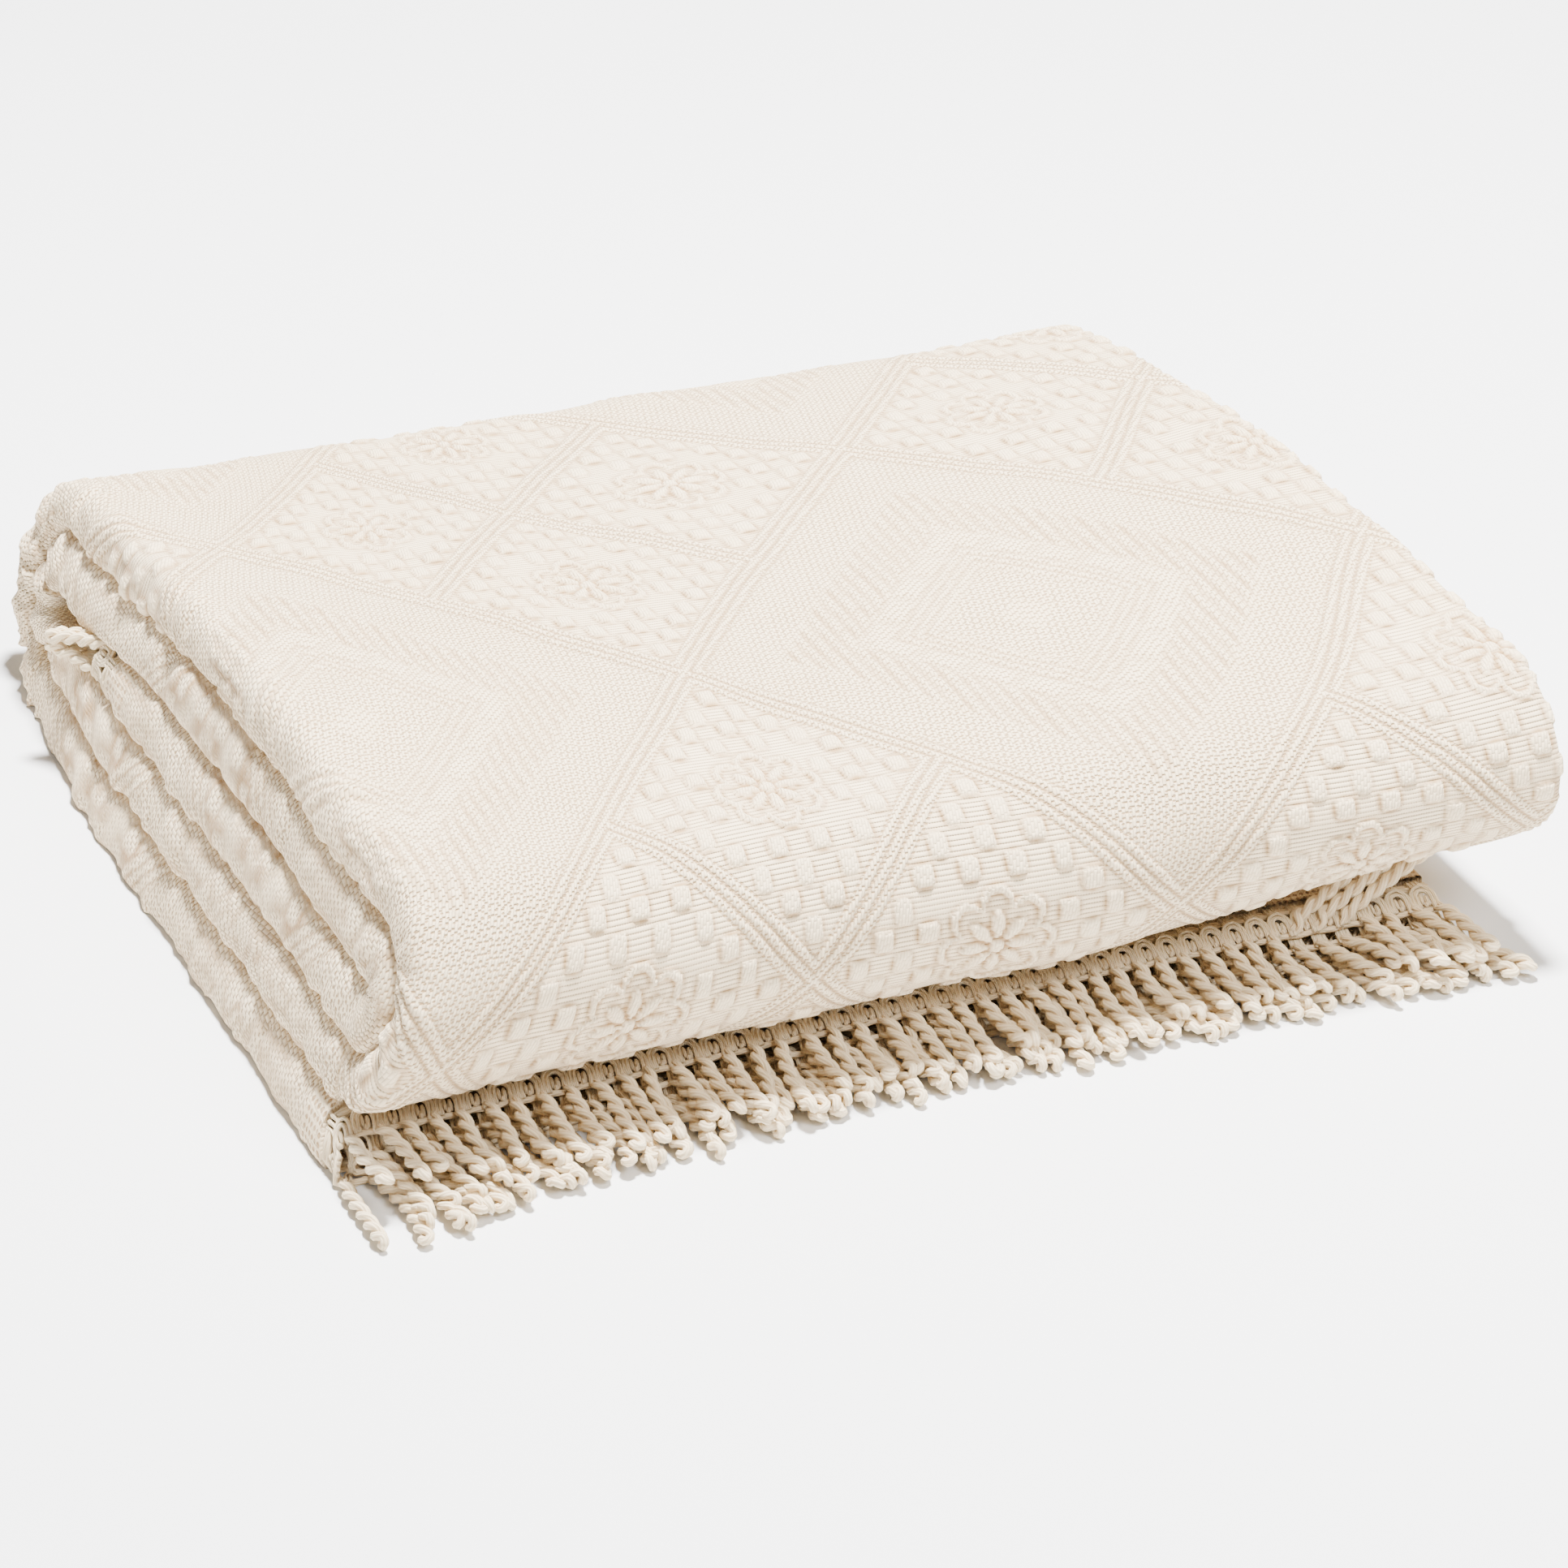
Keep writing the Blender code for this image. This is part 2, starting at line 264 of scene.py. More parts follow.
def lattice(across, along):
    """Lattice numbers (i, j) of points of the cloth, whole on the bands, and the yarns' own grid."""
    weight = np.full(across.shape, PULL_HOLD)
    shift_x, shift_y = np.zeros(across.shape), np.zeros(across.shape)
    for x, y, dx, dy in PULLED:
        near = np.exp(-((across * 1000 - x) ** 2 + (along * 1000 - y) ** 2) / (2 * PULL_REACH ** 2))
        weight += near
        shift_x += near * dx
        shift_y += near * dy
    across = across + shift_x / weight / 1000
    along = along + shift_y / weight / 1000
    total = (across - LATTICE_X) / CELL_HALF_WIDTH
    apart = (LATTICE_V - along) / CELL_HALF_LENGTH
    return (total + apart) / 2, (total - apart) / 2, across, along


def bricks_and_rosette(a, b, i, j):
    """Relief in mm of the small diamonds, at shares a and b of the cell of lattice numbers i and j."""
    sa, sb = (2 * a) % 1 - 0.5, (2 * b) % 1 - 0.5
    x = (sa + sb) * CELL_HALF_WIDTH * 500
    y = (sb - sa) * CELL_HALF_LENGTH * 500
    step_x, step_y = CELL_HALF_WIDTH * 500 / BRICK_STEPS, CELL_HALF_LENGTH * 500 / BRICK_STEPS
    p, q = x / step_x, y / step_y
    bricks = np.zeros(x.shape)
    for p0, q0 in ((2 * np.round(p / 2), 2 * np.round(q / 2)),
                   (2 * np.floor(p / 2) + 1, 2 * np.floor(q / 2) + 1)):
        ring = abs(p0) + abs(q0)
        there = np.isin(ring, BRICK_RINGS) & ~((abs(p0) == 2) & (abs(q0) == 2))
        uneven = np.sin(12.9 * p0 + 78.2 * q0 + 37.7 * np.floor(2 * i) + 11.3 * np.floor(2 * j))
        from_x = (p - p0) * step_x - BRICK_ASTRAY[0] * uneven
        from_y = (q - q0) * step_y + BRICK_ASTRAY[1] * uneven
        out_x = abs(from_x / (BRICK_HALF_WIDTH * (1 + BRICK_UNEVEN * uneven)))
        out_y = abs(from_y / (BRICK_HALF_LENGTH * (1 - BRICK_UNEVEN * uneven)))
        out = (out_x ** 4 + out_y ** 4) ** 0.25
        level = 1 - BRICK_SINK + BRICK_SINK * uneven
        bricks = np.maximum(bricks, there * (1 - smooth_step(out, *BRICK_EDGE)) * level)
    rx, ry = x / ROSETTE_WIDER, y / ROSETTE_SHORTER
    r, angle = np.hypot(rx, ry), np.arctan2(ry, rx)
    turn = (angle + math.pi / LEAVES) % (math.tau / LEAVES) - math.pi / LEAVES
    beside, outward = abs(r * np.sin(turn)), r * np.cos(turn)
    span = np.clip((outward - LEAF_START) / (LEAF_END - LEAF_START), 0, 1)
    half = LEAF_HALF_WIDTH * np.sin(math.pi * span) ** 0.7
    leaves = (half > 0.3) * (1 - smooth_step(beside / np.maximum(half, 0.3), *LEAF_EDGE))
    knob = 1 - smooth_step(r, *KNOB_EDGE)
    petal = PETAL_REACH - PETAL_DIP * (abs(turn) / (math.pi / LEAVES)) ** PETAL_ROUND
    outline = 1 - smooth_step(abs(r - petal), 0.5 * PETAL_CORD, 1.35 * PETAL_CORD)
    outline = outline * (0.7 + 0.3 * smooth_step(np.cos(math.tau * y / PETAL_STITCH), -0.6, 0.4))
    rosette = np.maximum(np.maximum(leaves, knob), outline)
    return np.maximum(BRICK_HEIGHT * bricks, ROSETTE_HEIGHT * rosette)


def nested_diamonds(a, b):
    """Relief in mm of the diamonds inside each other, and the share of quiet dotted ground there."""
    x = (a + b - 1) * CELL_HALF_WIDTH * 1000
    y = (b - a) * CELL_HALF_LENGTH * 1000
    s = abs(x) / (CELL_HALF_WIDTH * 1000) + abs(y) / (CELL_HALF_LENGTH * 1000)
    row = ((s - BAR_ROW_START) / BAR_ROW) % 1
    bars = (smooth_step(s, *BARS_START) * (1 - smooth_step(s, *BARS_END))
            * smooth_step(np.sin(math.pi * row), 0.15, 0.6)
            * smooth_step(np.cos(math.tau * x / BAR_PITCH), -0.3, 0.5))
    beside = (abs(x) * BLOCK_WAY[0] - abs(y) * BLOCK_WAY[1]) / BLOCK_PITCH
    blocks = (smooth_step(s, *BLOCKS_START) * (1 - smooth_step(s, *BLOCKS_END))
              * smooth_step(abs(np.sin(math.pi * beside)), 0.25, 0.6))
    from_ring = abs(s - RING_AT) * RING_SCALE
    ring_cords = (np.cos(math.pi * from_ring / RING_CORD) ** 2) * (from_ring < 1.5 * RING_CORD)
    quiet = smooth_step(s, *QUIET_EDGE) + (s < QUIET_MIDDLE) * smooth_step(s, *QUIET_MIDDLE_EDGE)
    return BAR_HEIGHT * bars + BLOCK_HEIGHT * blocks + RING_HEIGHT * ring_cords, np.clip(quiet, 0, 1)


def woven(i, j):
    """Relief in mm, and shares of ribbed ground, dotted ground and raised floats at lattice numbers."""
    a, b = i - np.floor(i), j - np.floor(j)
    odd = (np.floor(i) + np.floor(j)) % 2 == 1
    edge = BAND_APART * np.minimum(np.minimum(a, 1 - a), np.minimum(b, 1 - b))
    inner = BAND_APART * np.minimum(abs(a - 0.5), abs(b - 0.5))
    distance = np.where(odd, np.minimum(edge, inner), edge)
    in_band = 1 - smooth_step(distance, *BAND_EDGE)
    cords = CORD_HEIGHT * np.cos(math.pi * distance / CORD_PITCH) ** 2 * (distance < BAND_REACH)
    raised = bricks_and_rosette(a, b, i, j)
    nested, quiet = nested_diamonds(a, b)
    height = np.where(odd, raised, nested) * (1 - in_band) + cords
    floats = odd * (1 - in_band) * np.clip(FLOATS_PER_MM * raised, 0, 1)
    ribbed = odd * (1 - in_band) - floats
    dotted = ~odd * (1 - in_band) * quiet
    return height, ribbed, dotted, floats


def node_group(name, inputs, outputs):
    """A shader node group of values with named inputs and outputs, and the sockets inside it."""
    group = bpy.data.node_groups.new(name, "ShaderNodeTree")
    for label in inputs:
        group.interface.new_socket(label, in_out="INPUT", socket_type="NodeSocketFloat")
    for label in outputs:
        group.interface.new_socket(label, in_out="OUTPUT", socket_type="NodeSocketFloat")
    enter = group.nodes.new("NodeGroupInput")
    leave = group.nodes.new("NodeGroupOutput")
    return group, enter.outputs, leave.inputs


def maths(tree):
    """Gives calc, which places a Math node: calc("MULTIPLY", a, b) gives its output socket."""
    def place(operation, *values):
        node = tree.nodes.new("ShaderNodeMath")
        node.operation = operation
        for socket, value in zip(node.inputs, values):
            if isinstance(value, (int, float)):
                socket.default_value = value
            else:
                tree.links.new(value, socket)
        return node.outputs[0]
    return place


def eased(tree, value, low, high):
    """A smooth step of a socket's value from low to high."""
    node = tree.nodes.new("ShaderNodeMapRange")
    node.interpolation_type = "SMOOTHSTEP"
    tree.links.new(value, node.inputs["Value"])
    node.inputs["From Min"].default_value = low
    node.inputs["From Max"].default_value = high
    return node.outputs["Result"]


def round_top(calc, share):
    """The height of a round yarn, from 0 at its sides to 1 on its top, at shares -0.5 to 0.5 across it."""
    squared = calc("MULTIPLY", calc("MULTIPLY", share, share), 4.0)
    return calc("MAXIMUM", calc("SUBTRACT", 1.0, squared), 0.0)


# Stitches: short floats of warp yarn side by side, each a little further on than its neighbour.
stitches, given, made = node_group(
    "stitches", ("Across", "Along", "Pitch", "Length", "Slant"), ("Height", "Gap"))
calc = maths(stitches)
slanted = calc("MULTIPLY_ADD", given["Along"], given["Slant"], given["Across"])
column = calc("DIVIDE", slanted, given["Pitch"])
number = calc("FLOOR", column)
inside = calc("SUBTRACT", calc("FRACT", column), 0.5)
shuffle = calc("FRACT", calc("MULTIPLY", calc("SINE", calc("MULTIPLY", number, 12.9898)), 43.7585))
started = calc("ADD", calc("DIVIDE", given["Along"], given["Length"]),
               calc("MULTIPLY_ADD", number, 0.37, calc("MULTIPLY", shuffle, 0.35)))
rise = calc("SINE", calc("MULTIPLY", calc("FRACT", started), math.pi))
lump = calc("POWER", calc("MAXIMUM", rise, 0.0), 0.45)
round_yarn = calc("POWER", round_top(calc, inside), 0.6)
stitches.links.new(calc("MULTIPLY", round_yarn, lump), made["Height"])
stitches.links.new(calc("SUBTRACT", 1.0, eased(stitches, rise, 0.0, 0.55)), made["Gap"])

# Ribs: weft cords that lie straight across, with the binding yarns showing as beads between them.
BEAD_PITCH = 1.2
ribs, given, made = node_group("ribs", ("Across", "Along", "Pitch"), ("Height", "Gap"))
calc = maths(ribs)
inside = calc("SUBTRACT", calc("FRACT", calc("DIVIDE", given["Along"], given["Pitch"])), 0.5)
crown = calc("POWER", round_top(calc, inside), 0.55)
bead = calc("ABSOLUTE", calc("SINE", calc("MULTIPLY", given["Across"], math.pi / BEAD_PITCH)))
between = calc("SUBTRACT", 1.0, eased(ribs, crown, 0.3, 0.95))
gap = calc("MULTIPLY", between, calc("SUBTRACT", 1.0, calc("MULTIPLY", bead, 0.75)))
ribs.links.new(calc("MULTIPLY", crown, calc("MULTIPLY_ADD", bead, 0.12, 0.88)), made["Height"])
ribs.links.new(gap, made["Gap"])

# Eyelets: the small open dots of the twill ground, in slanting columns.
eyelets, given, made = node_group("eyelets", ("Across", "Along", "Apart", "Step", "Slant"), ("Hole",))
calc = maths(eyelets)
slanted = calc("MULTIPLY_ADD", given["Along"], given["Slant"], given["Across"])
column = calc("DIVIDE", slanted, given["Apart"])
turned = calc("COSINE", calc("MULTIPLY", column, math.tau))
stepped = calc("COSINE", calc("MULTIPLY", calc("DIVIDE", given["Along"], given["Step"]), math.tau))
eyelets.links.new(eased(eyelets, calc("ADD", turned, stepped), 0.75, 1.8), made["Hole"])

# Woven cotton: yarn pitches and the open mesh of the hems in mm, heights in mm, and colours.
RIB_PITCH = 2.4
CORD_EDGE = (8.4, 9.2)
HEM_DEPTH = (20.5, 21.5)
HEM_MESH, HEM_OPEN = 3.3, 0.95
YARN_HEIGHT, RIB_HEIGHT, GAP_DEPTH, FIBRE_HEIGHT = 0.60, 0.65, 0.60, 0.05
SEEDS_PER_METRE, SEED_SIZE, SEED_SHARE = 62.0, 0.036, 0.38
IVORY = (0.900, 0.725, 0.480, 1.0)
WARM_IVORY = (0.873, 0.692, 0.446, 1.0)
# SHADED_IVORY is painted shade, for the gaps, holes and hollows of the weave.
SHADED_IVORY = (0.380, 0.220, 0.090, 1.0)
SEED = (0.100, 0.070, 0.045, 1.0)


def linked(tree, node, name, socket):
    """Links a socket to the node's input of that name."""
    tree.links.new(socket, node.inputs[name])


def matt_cotton(shader, roughness):
    """Sets a shader's own values to those of unglazed cotton, with a faint bloom of fibres."""
    shader.inputs["Roughness"].default_value = roughness
    shader.inputs["Sheen Weight"].default_value = 0.12
    shader.inputs["Sheen Roughness"].default_value = 0.6
    shader.inputs["Specular IOR Level"].default_value = 0.25


def raised_by(tree, shader, height, strength):
    """Bumps a shader's surface by a height in mm."""
    bump = tree.nodes.new("ShaderNodeBump")
    bump.inputs["Strength"].default_value = strength
    bump.inputs["Distance"].default_value = 0.001
    linked(tree, bump, "Height", height)
    linked(tree, shader, "Normal", bump.outputs["Normal"])


def noise(tree, scale, detail):
    """A noise texture's value."""
    node = tree.nodes.new("ShaderNodeTexNoise")
    node.inputs["Scale"].default_value = scale
    node.inputs["Detail"].default_value = detail
    return node.outputs["Fac"]


def blended(tree, first, second, factor):
    """The first colour with the second laid over it by a factor; each is a colour or a socket."""
    node = tree.nodes.new("ShaderNodeMix")
    node.data_type = "RGBA"
    for name, colour in (("A", first), ("B", second)):
        if isinstance(colour, tuple):
            node.inputs[name].default_value = colour
        else:
            linked(tree, node, name, colour)
    linked(tree, node, "Factor", factor)
    return node.outputs["Result"]


def kept_on_points(tree, name):
    """The three values that the mesh keeps on its points under that name."""
    node = tree.nodes.new("ShaderNodeAttribute")
    node.attribute_name = name
    parts = tree.nodes.new("ShaderNodeSeparateXYZ")
    tree.links.new(node.outputs["Vector"], parts.inputs[0])
    return parts.outputs


def weave_material():
    """Natural cotton in ivory, with the yarns as bump and painted shade down in the gaps, holes and hollows
    of the weave.
    """
    material = bpy.data.materials.new("woven_cotton")
    material.use_nodes = True
    tree = material.node_tree
    calc = maths(tree)
    shader = tree.nodes["Principled BSDF"]
    matt_cotton(shader, roughness=0.92)
    across, along, from_hem_line = kept_on_points(tree, "yarn_grid")
    i, j, floats = kept_on_points(tree, "lattice")
    ribbed, dotted, hollow_shade = kept_on_points(tree, "grounds")

    def group(tree_of, **values):
        """Places a group fed with the yarns' grid."""
        node = tree.nodes.new("ShaderNodeGroup")
        node.node_tree = tree_of
        linked(tree, node, "Across", across)
        linked(tree, node, "Along", along)
        for name, value in values.items():
            node.inputs[name].default_value = value
        return node.outputs

    yarn = group(stitches, Pitch=1.5, Length=4.6, Slant=0.18)
    rib = group(ribs, Pitch=RIB_PITCH)
    hole = group(eyelets, Apart=3.2, Step=2.4, Slant=0.28)

    def to_line(value):
        """How far a lattice number is from a whole one, in mm."""
        off = calc("ABSOLUTE", calc("SUBTRACT", value, calc("ROUND", value)))
        return calc("MULTIPLY", off, BAND_APART)

    whole = calc("ADD", calc("FLOOR", i), calc("FLOOR", j))
    odd = calc("FLOORED_MODULO", whole, 2.0)
    main = calc("MINIMUM", to_line(i), to_line(j))
    half_i = calc("MULTIPLY", to_line(calc("MULTIPLY", i, 2.0)), 0.5)
    half_j = calc("MULTIPLY", to_line(calc("MULTIPLY", j, 2.0)), 0.5)
    short = calc("MINIMUM", half_i, half_j)
    far = calc("MULTIPLY", calc("SUBTRACT", 1.0, odd), 100.0)
    distance = calc("MINIMUM", main, calc("ADD", short, far))
    phase = calc("COSINE", calc("MULTIPLY", distance, math.tau / CORD_PITCH))
    in_band = calc("SUBTRACT", 1.0, eased(tree, distance, *CORD_EDGE))
    groove = calc("MULTIPLY", eased(tree, calc("MULTIPLY", phase, -1.0), 0.45, 0.95), in_band)
    dash = calc("COSINE", calc("MULTIPLY", along, math.tau / RIB_PITCH))
    groove = calc("MULTIPLY", groove, calc("MULTIPLY_ADD", eased(tree, dash, -0.4, 0.6), 0.75, 0.25))

    hem = calc("SUBTRACT", 1.0, eased(tree, from_hem_line, *HEM_DEPTH))
    mesh_across = calc("COSINE", calc("MULTIPLY", across, math.tau / HEM_MESH))
    mesh_along = calc("COSINE", calc("MULTIPLY", from_hem_line, math.tau / HEM_MESH))
    mesh_hole = calc("MULTIPLY", eased(tree, calc("SUBTRACT", mesh_across, mesh_along), 0.1, 1.0), hem)
    mesh_hole = calc("MULTIPLY", mesh_hole, HEM_OPEN)

    plain = calc("SUBTRACT", 1.0, ribbed)
    gap = calc("MULTIPLY", yarn["Gap"], calc("SUBTRACT", plain, calc("MULTIPLY", floats, 0.85)))
    gap = calc("MAXIMUM", gap, calc("MULTIPLY", rib["Gap"], ribbed))
    gap = calc("MAXIMUM", gap, calc("MULTIPLY", hole["Hole"], dotted))
    gap = calc("MAXIMUM", gap, groove)
    gap = calc("MAXIMUM", calc("MULTIPLY", gap, calc("SUBTRACT", 1.0, hem)), mesh_hole)

    height = calc("MULTIPLY", yarn["Height"], calc("MULTIPLY", plain, YARN_HEIGHT))
    height = calc("ADD", height, calc("MULTIPLY", rib["Height"], calc("MULTIPLY", ribbed, RIB_HEIGHT)))
    height = calc("SUBTRACT", height, calc("MULTIPLY", gap, GAP_DEPTH))
    fibres = noise(tree, scale=2600.0, detail=2.0)
    height = calc("ADD", height, calc("MULTIPLY", fibres, FIBRE_HEIGHT))
    raised_by(tree, shader, height, strength=0.85)

    patches = eased(tree, noise(tree, scale=22.0, detail=3.0), 0.35, 0.7)
    tone = blended(tree, IVORY, WARM_IVORY, patches)
    # Painted shade: the gaps between yarns, the eyelets, the grooves of the corded bands, the open hem mesh
    # and the hollows beside the raised yarns are darkened towards SHADED_IVORY, where shade falls into
    # them.
    painted_shade = calc("MAXIMUM", calc("MULTIPLY", gap, 0.85), calc("MULTIPLY", hollow_shade, 0.95))
    deep = blended(tree, tone, SHADED_IVORY, painted_shade)
    speck = tree.nodes.new("ShaderNodeTexVoronoi")
    speck.inputs["Scale"].default_value = SEEDS_PER_METRE
    seed = calc("MULTIPLY", calc("LESS_THAN", speck.outputs["Distance"], SEED_SIZE),
                calc("GREATER_THAN", speck.outputs["Color"], 1 - SEED_SHARE))
    linked(tree, shader, "Base Color", blended(tree, deep, SEED, calc("MULTIPLY", seed, 0.75)))
    return material


woven_cotton = weave_material()


def soft_lumps(across, along):
    """The slight unevenness of soft cloth over folds, in metres."""
    waves = ((61.0, 23.0, 0.4, 0.00045), (-38.0, 47.0, 1.9, 0.00040), (17.0, -71.0, 2.7, 0.00030),
             (92.0, 64.0, 4.4, 0.00022), (-110.0, 31.0, 0.9, 0.00018))
    total = 0.0
    for per_across, per_along, start, size in waves:
        total = total + size * np.sin(per_across * across + per_along * along + start)
    return total


# Wrinkles of the cloth where it turns round the rolled end, in metres: where along the roll and
# across the pack they lie, the stretches where the back bends bunch them up, and their sizes
WRINKLES = 1000
WRINKLE_SEED = 11
WRINKLED_ALONG, WRINKLED_ACROSS = (-0.66, 1.96), (-0.016, 0.010)
BACK_BENDS, BUNCHED = ((-0.20, 0.01), (1.00, 1.14)), 2.0
NARROWEST, WIDENING = 0.0020, 0.0070
SHORTEST, LENGTHENING = 0.004, 0.011
WRINKLE_DEPTH, WRINKLE_SLANT, WRINKLE_REACH = (0.0004, 0.0011), 0.35, 0.06


def crumpled(across, along):
    """Cross wrinkles where the cloth turns round the rolled end, none like the next, in metres."""
    random = np.random.default_rng(WRINKLE_SEED)
    total = np.zeros(across.shape)
    for _ in range(WRINKLES):
        middle_along = random.uniform(*WRINKLED_ALONG)
        bunched = BUNCHED if any(start < middle_along < stop for start, stop in BACK_BENDS) else 1.0
        middle_across = random.uniform(*WRINKLED_ACROSS)
        size = random.uniform(0.0, 1.0) ** 2
        half_width, half_length = NARROWEST + WIDENING * size, SHORTEST + LENGTHENING * size
        slant = random.normal(0.0, WRINKLE_SLANT)
        depth = random.uniform(*WRINKLE_DEPTH) * random.choice((-1, 1)) * bunched
        u, v = across - middle_across, along - middle_along
        near = abs(v) < WRINKLE_REACH
        ridge = ((v + slant * u)[near] / half_width) ** 2 + (u[near] / half_length) ** 2
        total[near] += depth * np.exp(-ridge)
    return total


def vertex_normals(points):
    """Unit normals of a grid of points, first index along the pack and second along the roll."""
    return unit(np.cross(np.gradient(points, axis=1), np.gradient(points, axis=0)))


def store(mesh, name, values):
    """Keeps three values on each point of a mesh."""
    attribute = mesh.attributes.new(name, "FLOAT_VECTOR", "POINT")
    attribute.data.foreach_set("vector", np.ascontiguousarray(values, np.float32).ravel())


def make_piece(name, points, faces, notes, material, node, normals=None):
    """Makes one piece that stands for a node, with its notes for the material kept on its points."""
    mesh = bpy.data.meshes.new(name)
    mesh.from_pydata(points.tolist(), [], faces)
    mesh.polygons.foreach_set("use_smooth", [True] * len(mesh.polygons))
    for label, values in notes.items():
        store(mesh, label, values)
    mesh.materials.append(material)
    mesh.update()
    if normals is not None:
        mesh.normals_split_custom_set_from_vertices(normals.tolist())
    piece = bpy.data.objects.new(name, mesh)
    bpy.context.scene.collection.objects.link(piece)
    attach(piece, "root")
    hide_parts(node)
    return piece


# Hollows between the raised yarns, in steps of the mesh and in mm, where the material paints shade.
HOLLOW_STEPS = 2
HOLLOW_START, HOLLOW_DEPTH = 0.05, 0.50


def hollows(height):
    """How far each point lies below the raised yarns round it, from 0 to 1, which sets its painted shade.
    """
    mean = height
    for axis in (0, 1):
        mean = sum(np.roll(mean, step, axis) for step in range(-HOLLOW_STEPS, HOLLOW_STEPS + 1))
        mean = mean / (2 * HOLLOW_STEPS + 1)
    return np.clip((mean - height - HOLLOW_START) / HOLLOW_DEPTH, 0, 1)


def from_hem(along):
    """How far points of the cloth lie from the nearer hem, in mm."""
    first = -(RUN - HEM_Y) - math.pi * (2.0 * BAND + OUTER)
    runs = 4 * RUN + (RUN - HEM_Y) - (RUN - INNER_HEM_Y)
    last = first + runs + math.pi * (5.0 * BAND + 4 * OUTER)
    return 1000 * np.minimum(along - first, last - along)


def weave_notes(across, along):
    """What the weave needs to know at points of the cloth, and its relief there in metres."""
    i, j, x, y = lattice(across, along)
    height, ribbed, dotted, floats = woven(i, j)
    notes = {
        "yarn_grid": np.stack([x * 1000, y * 1000, from_hem(along)], -1).reshape(-1, 3),
        "lattice": np.stack([i, j, floats], -1).reshape(-1, 3),
        # The third value of the grounds is how much painted shade a point gets in the hollows.
        "grounds": np.stack([ribbed, dotted, hollows(height)], -1).reshape(-1, 3),
    }
    return notes, height / 1000


# Bedspread, face: the outer ply where it shows most, over the back, the top and the round nose,
# with its turned-in edges at both ends. The raised weave is modelled in it as real relief.
TUCK = 0.012
FACE_PACK = (
    ("run", TUCK, None, 6), ("turn", 1.5 * PLY, "right", 20),
    ("run", LOOP_RIGHT_X - LOOP_LEFT_X, None, 376), ("turn", 0.5 * PLY, "right", 6),
    ("run", TUCK, None, 4),
)
FACE_ROLL = (("turn", 2.0 * BAND, "left", 96), ("run", RUN, None, 228), ("turn", 1.5 * BAND, "left", 112))
LEFT_END, RIGHT_START, RIGHT_END, LAST_COLUMN = (steps_to(FACE_PACK, count) for count in (2, 3, 4, 5))
BACK_END, TOP_END, NOSE_END = (steps_to(FACE_ROLL, count) for count in (1, 2, 3))
RELIEF_SINK = 0.0004

face_pack = swollen(walk((LOOP_LEFT_X + TUCK, -1.5 * PLY), math.pi, FACE_PACK), 0.0)
face_roll = walk((RUN, BAND / 2 - BASE_LIFT), 0.0, FACE_ROLL)
face_across = lengths(face_pack)
face_across += LOOP_LEFT_X - face_across[LEFT_END]
face_along = lengths(face_roll, OUTER) - math.pi * (2.0 * BAND + OUTER)
face_across, face_along = np.meshgrid(face_across, face_along, indexing="ij")
face_notes, face_relief = weave_notes(face_across, face_along)
face_lift = face_relief - RELIEF_SINK + soft_lumps(face_across, face_along)
face_lift += crumpled(face_across, face_along)
face_outer = carried(face_pack, face_roll, -CLOTH / 2 - face_lift)
face_inner = carried(face_pack, face_roll, CLOTH / 2)
face_normals = vertex_normals(face_outer)


def quads(number):
    """The corners of every cell of a grid of point numbers."""
    return np.stack([number[:-1, :-1], number[:-1, 1:], number[1:, 1:], number[1:, :-1]], -1)


def rim(outer_edge, inner_edge, kept, forwards):
    """The faces that close one side of a ply, each between two kept points of its inner edge."""
    faces = []
    for k, (here, there) in enumerate(zip(kept, kept[1:])):
        face = [inner_edge[k], *outer_edge[here:there + 1], inner_edge[k + 1]]
        faces.append(face if forwards else face[::-1])
    return faces


# The smooth inner face keeps every second column at the turned-in ends and every twentieth between.
kept_columns = [*range(0, LEFT_END + 1, 2), *range(LEFT_END + 20, RIGHT_START, 20),
                *range(RIGHT_START, RIGHT_END, 2), RIGHT_END, LAST_COLUMN]


def slab(name, first, last, every):
    """A closed ply from row first to row last: its outer face has every point, its inner face few."""
    rows, kept_rows = slice(first, last + 1), list(range(0, last - first + 1, every))
    outer, inner = face_outer[:, rows], face_inner[:, rows]
    columns, lines = outer.shape[:2]
    number = np.arange(columns * lines).reshape(columns, lines)
    spare = columns * lines + np.arange(len(kept_columns) * len(kept_rows)).reshape(len(kept_columns), -1)
    faces = quads(number).reshape(-1, 4).tolist() + quads(spare)[..., [0, 3, 2, 1]].reshape(-1, 4).tolist()
    faces += rim(number[0].tolist(), spare[0].tolist(), kept_rows, False)
    faces += rim(number[-1].tolist(), spare[-1].tolist(), kept_rows, True)
    faces += rim(number[:, 0].tolist(), spare[:, 0].tolist(), kept_columns, True)
    faces += rim(number[:, -1].tolist(), spare[:, -1].tolist(), kept_columns, False)
    pick = np.ix_(kept_columns, kept_rows)
    points = np.concatenate([outer.reshape(-1, 3), inner[pick].reshape(-1, 3)])
    normals = face_normals[:, rows]
    normals = np.concatenate([normals.reshape(-1, 3), -normals[pick].reshape(-1, 3)])
    notes = {}
    for label, values in face_notes.items():
        values = values.reshape(*face_across.shape, 3)[:, rows]
        notes[label] = np.concatenate([values.reshape(-1, 3), values[pick].reshape(-1, 3)])
    return make_piece(name, points, faces, notes, woven_cotton, "bedspread_cloth", normals)


bedspread_back = slab("bedspread_back", 0, BACK_END, 4)
bedspread_top = slab("bedspread_top", BACK_END, TOP_END, 12)
bedspread_nose = slab("bedspread_nose", TOP_END, NOSE_END, 4)

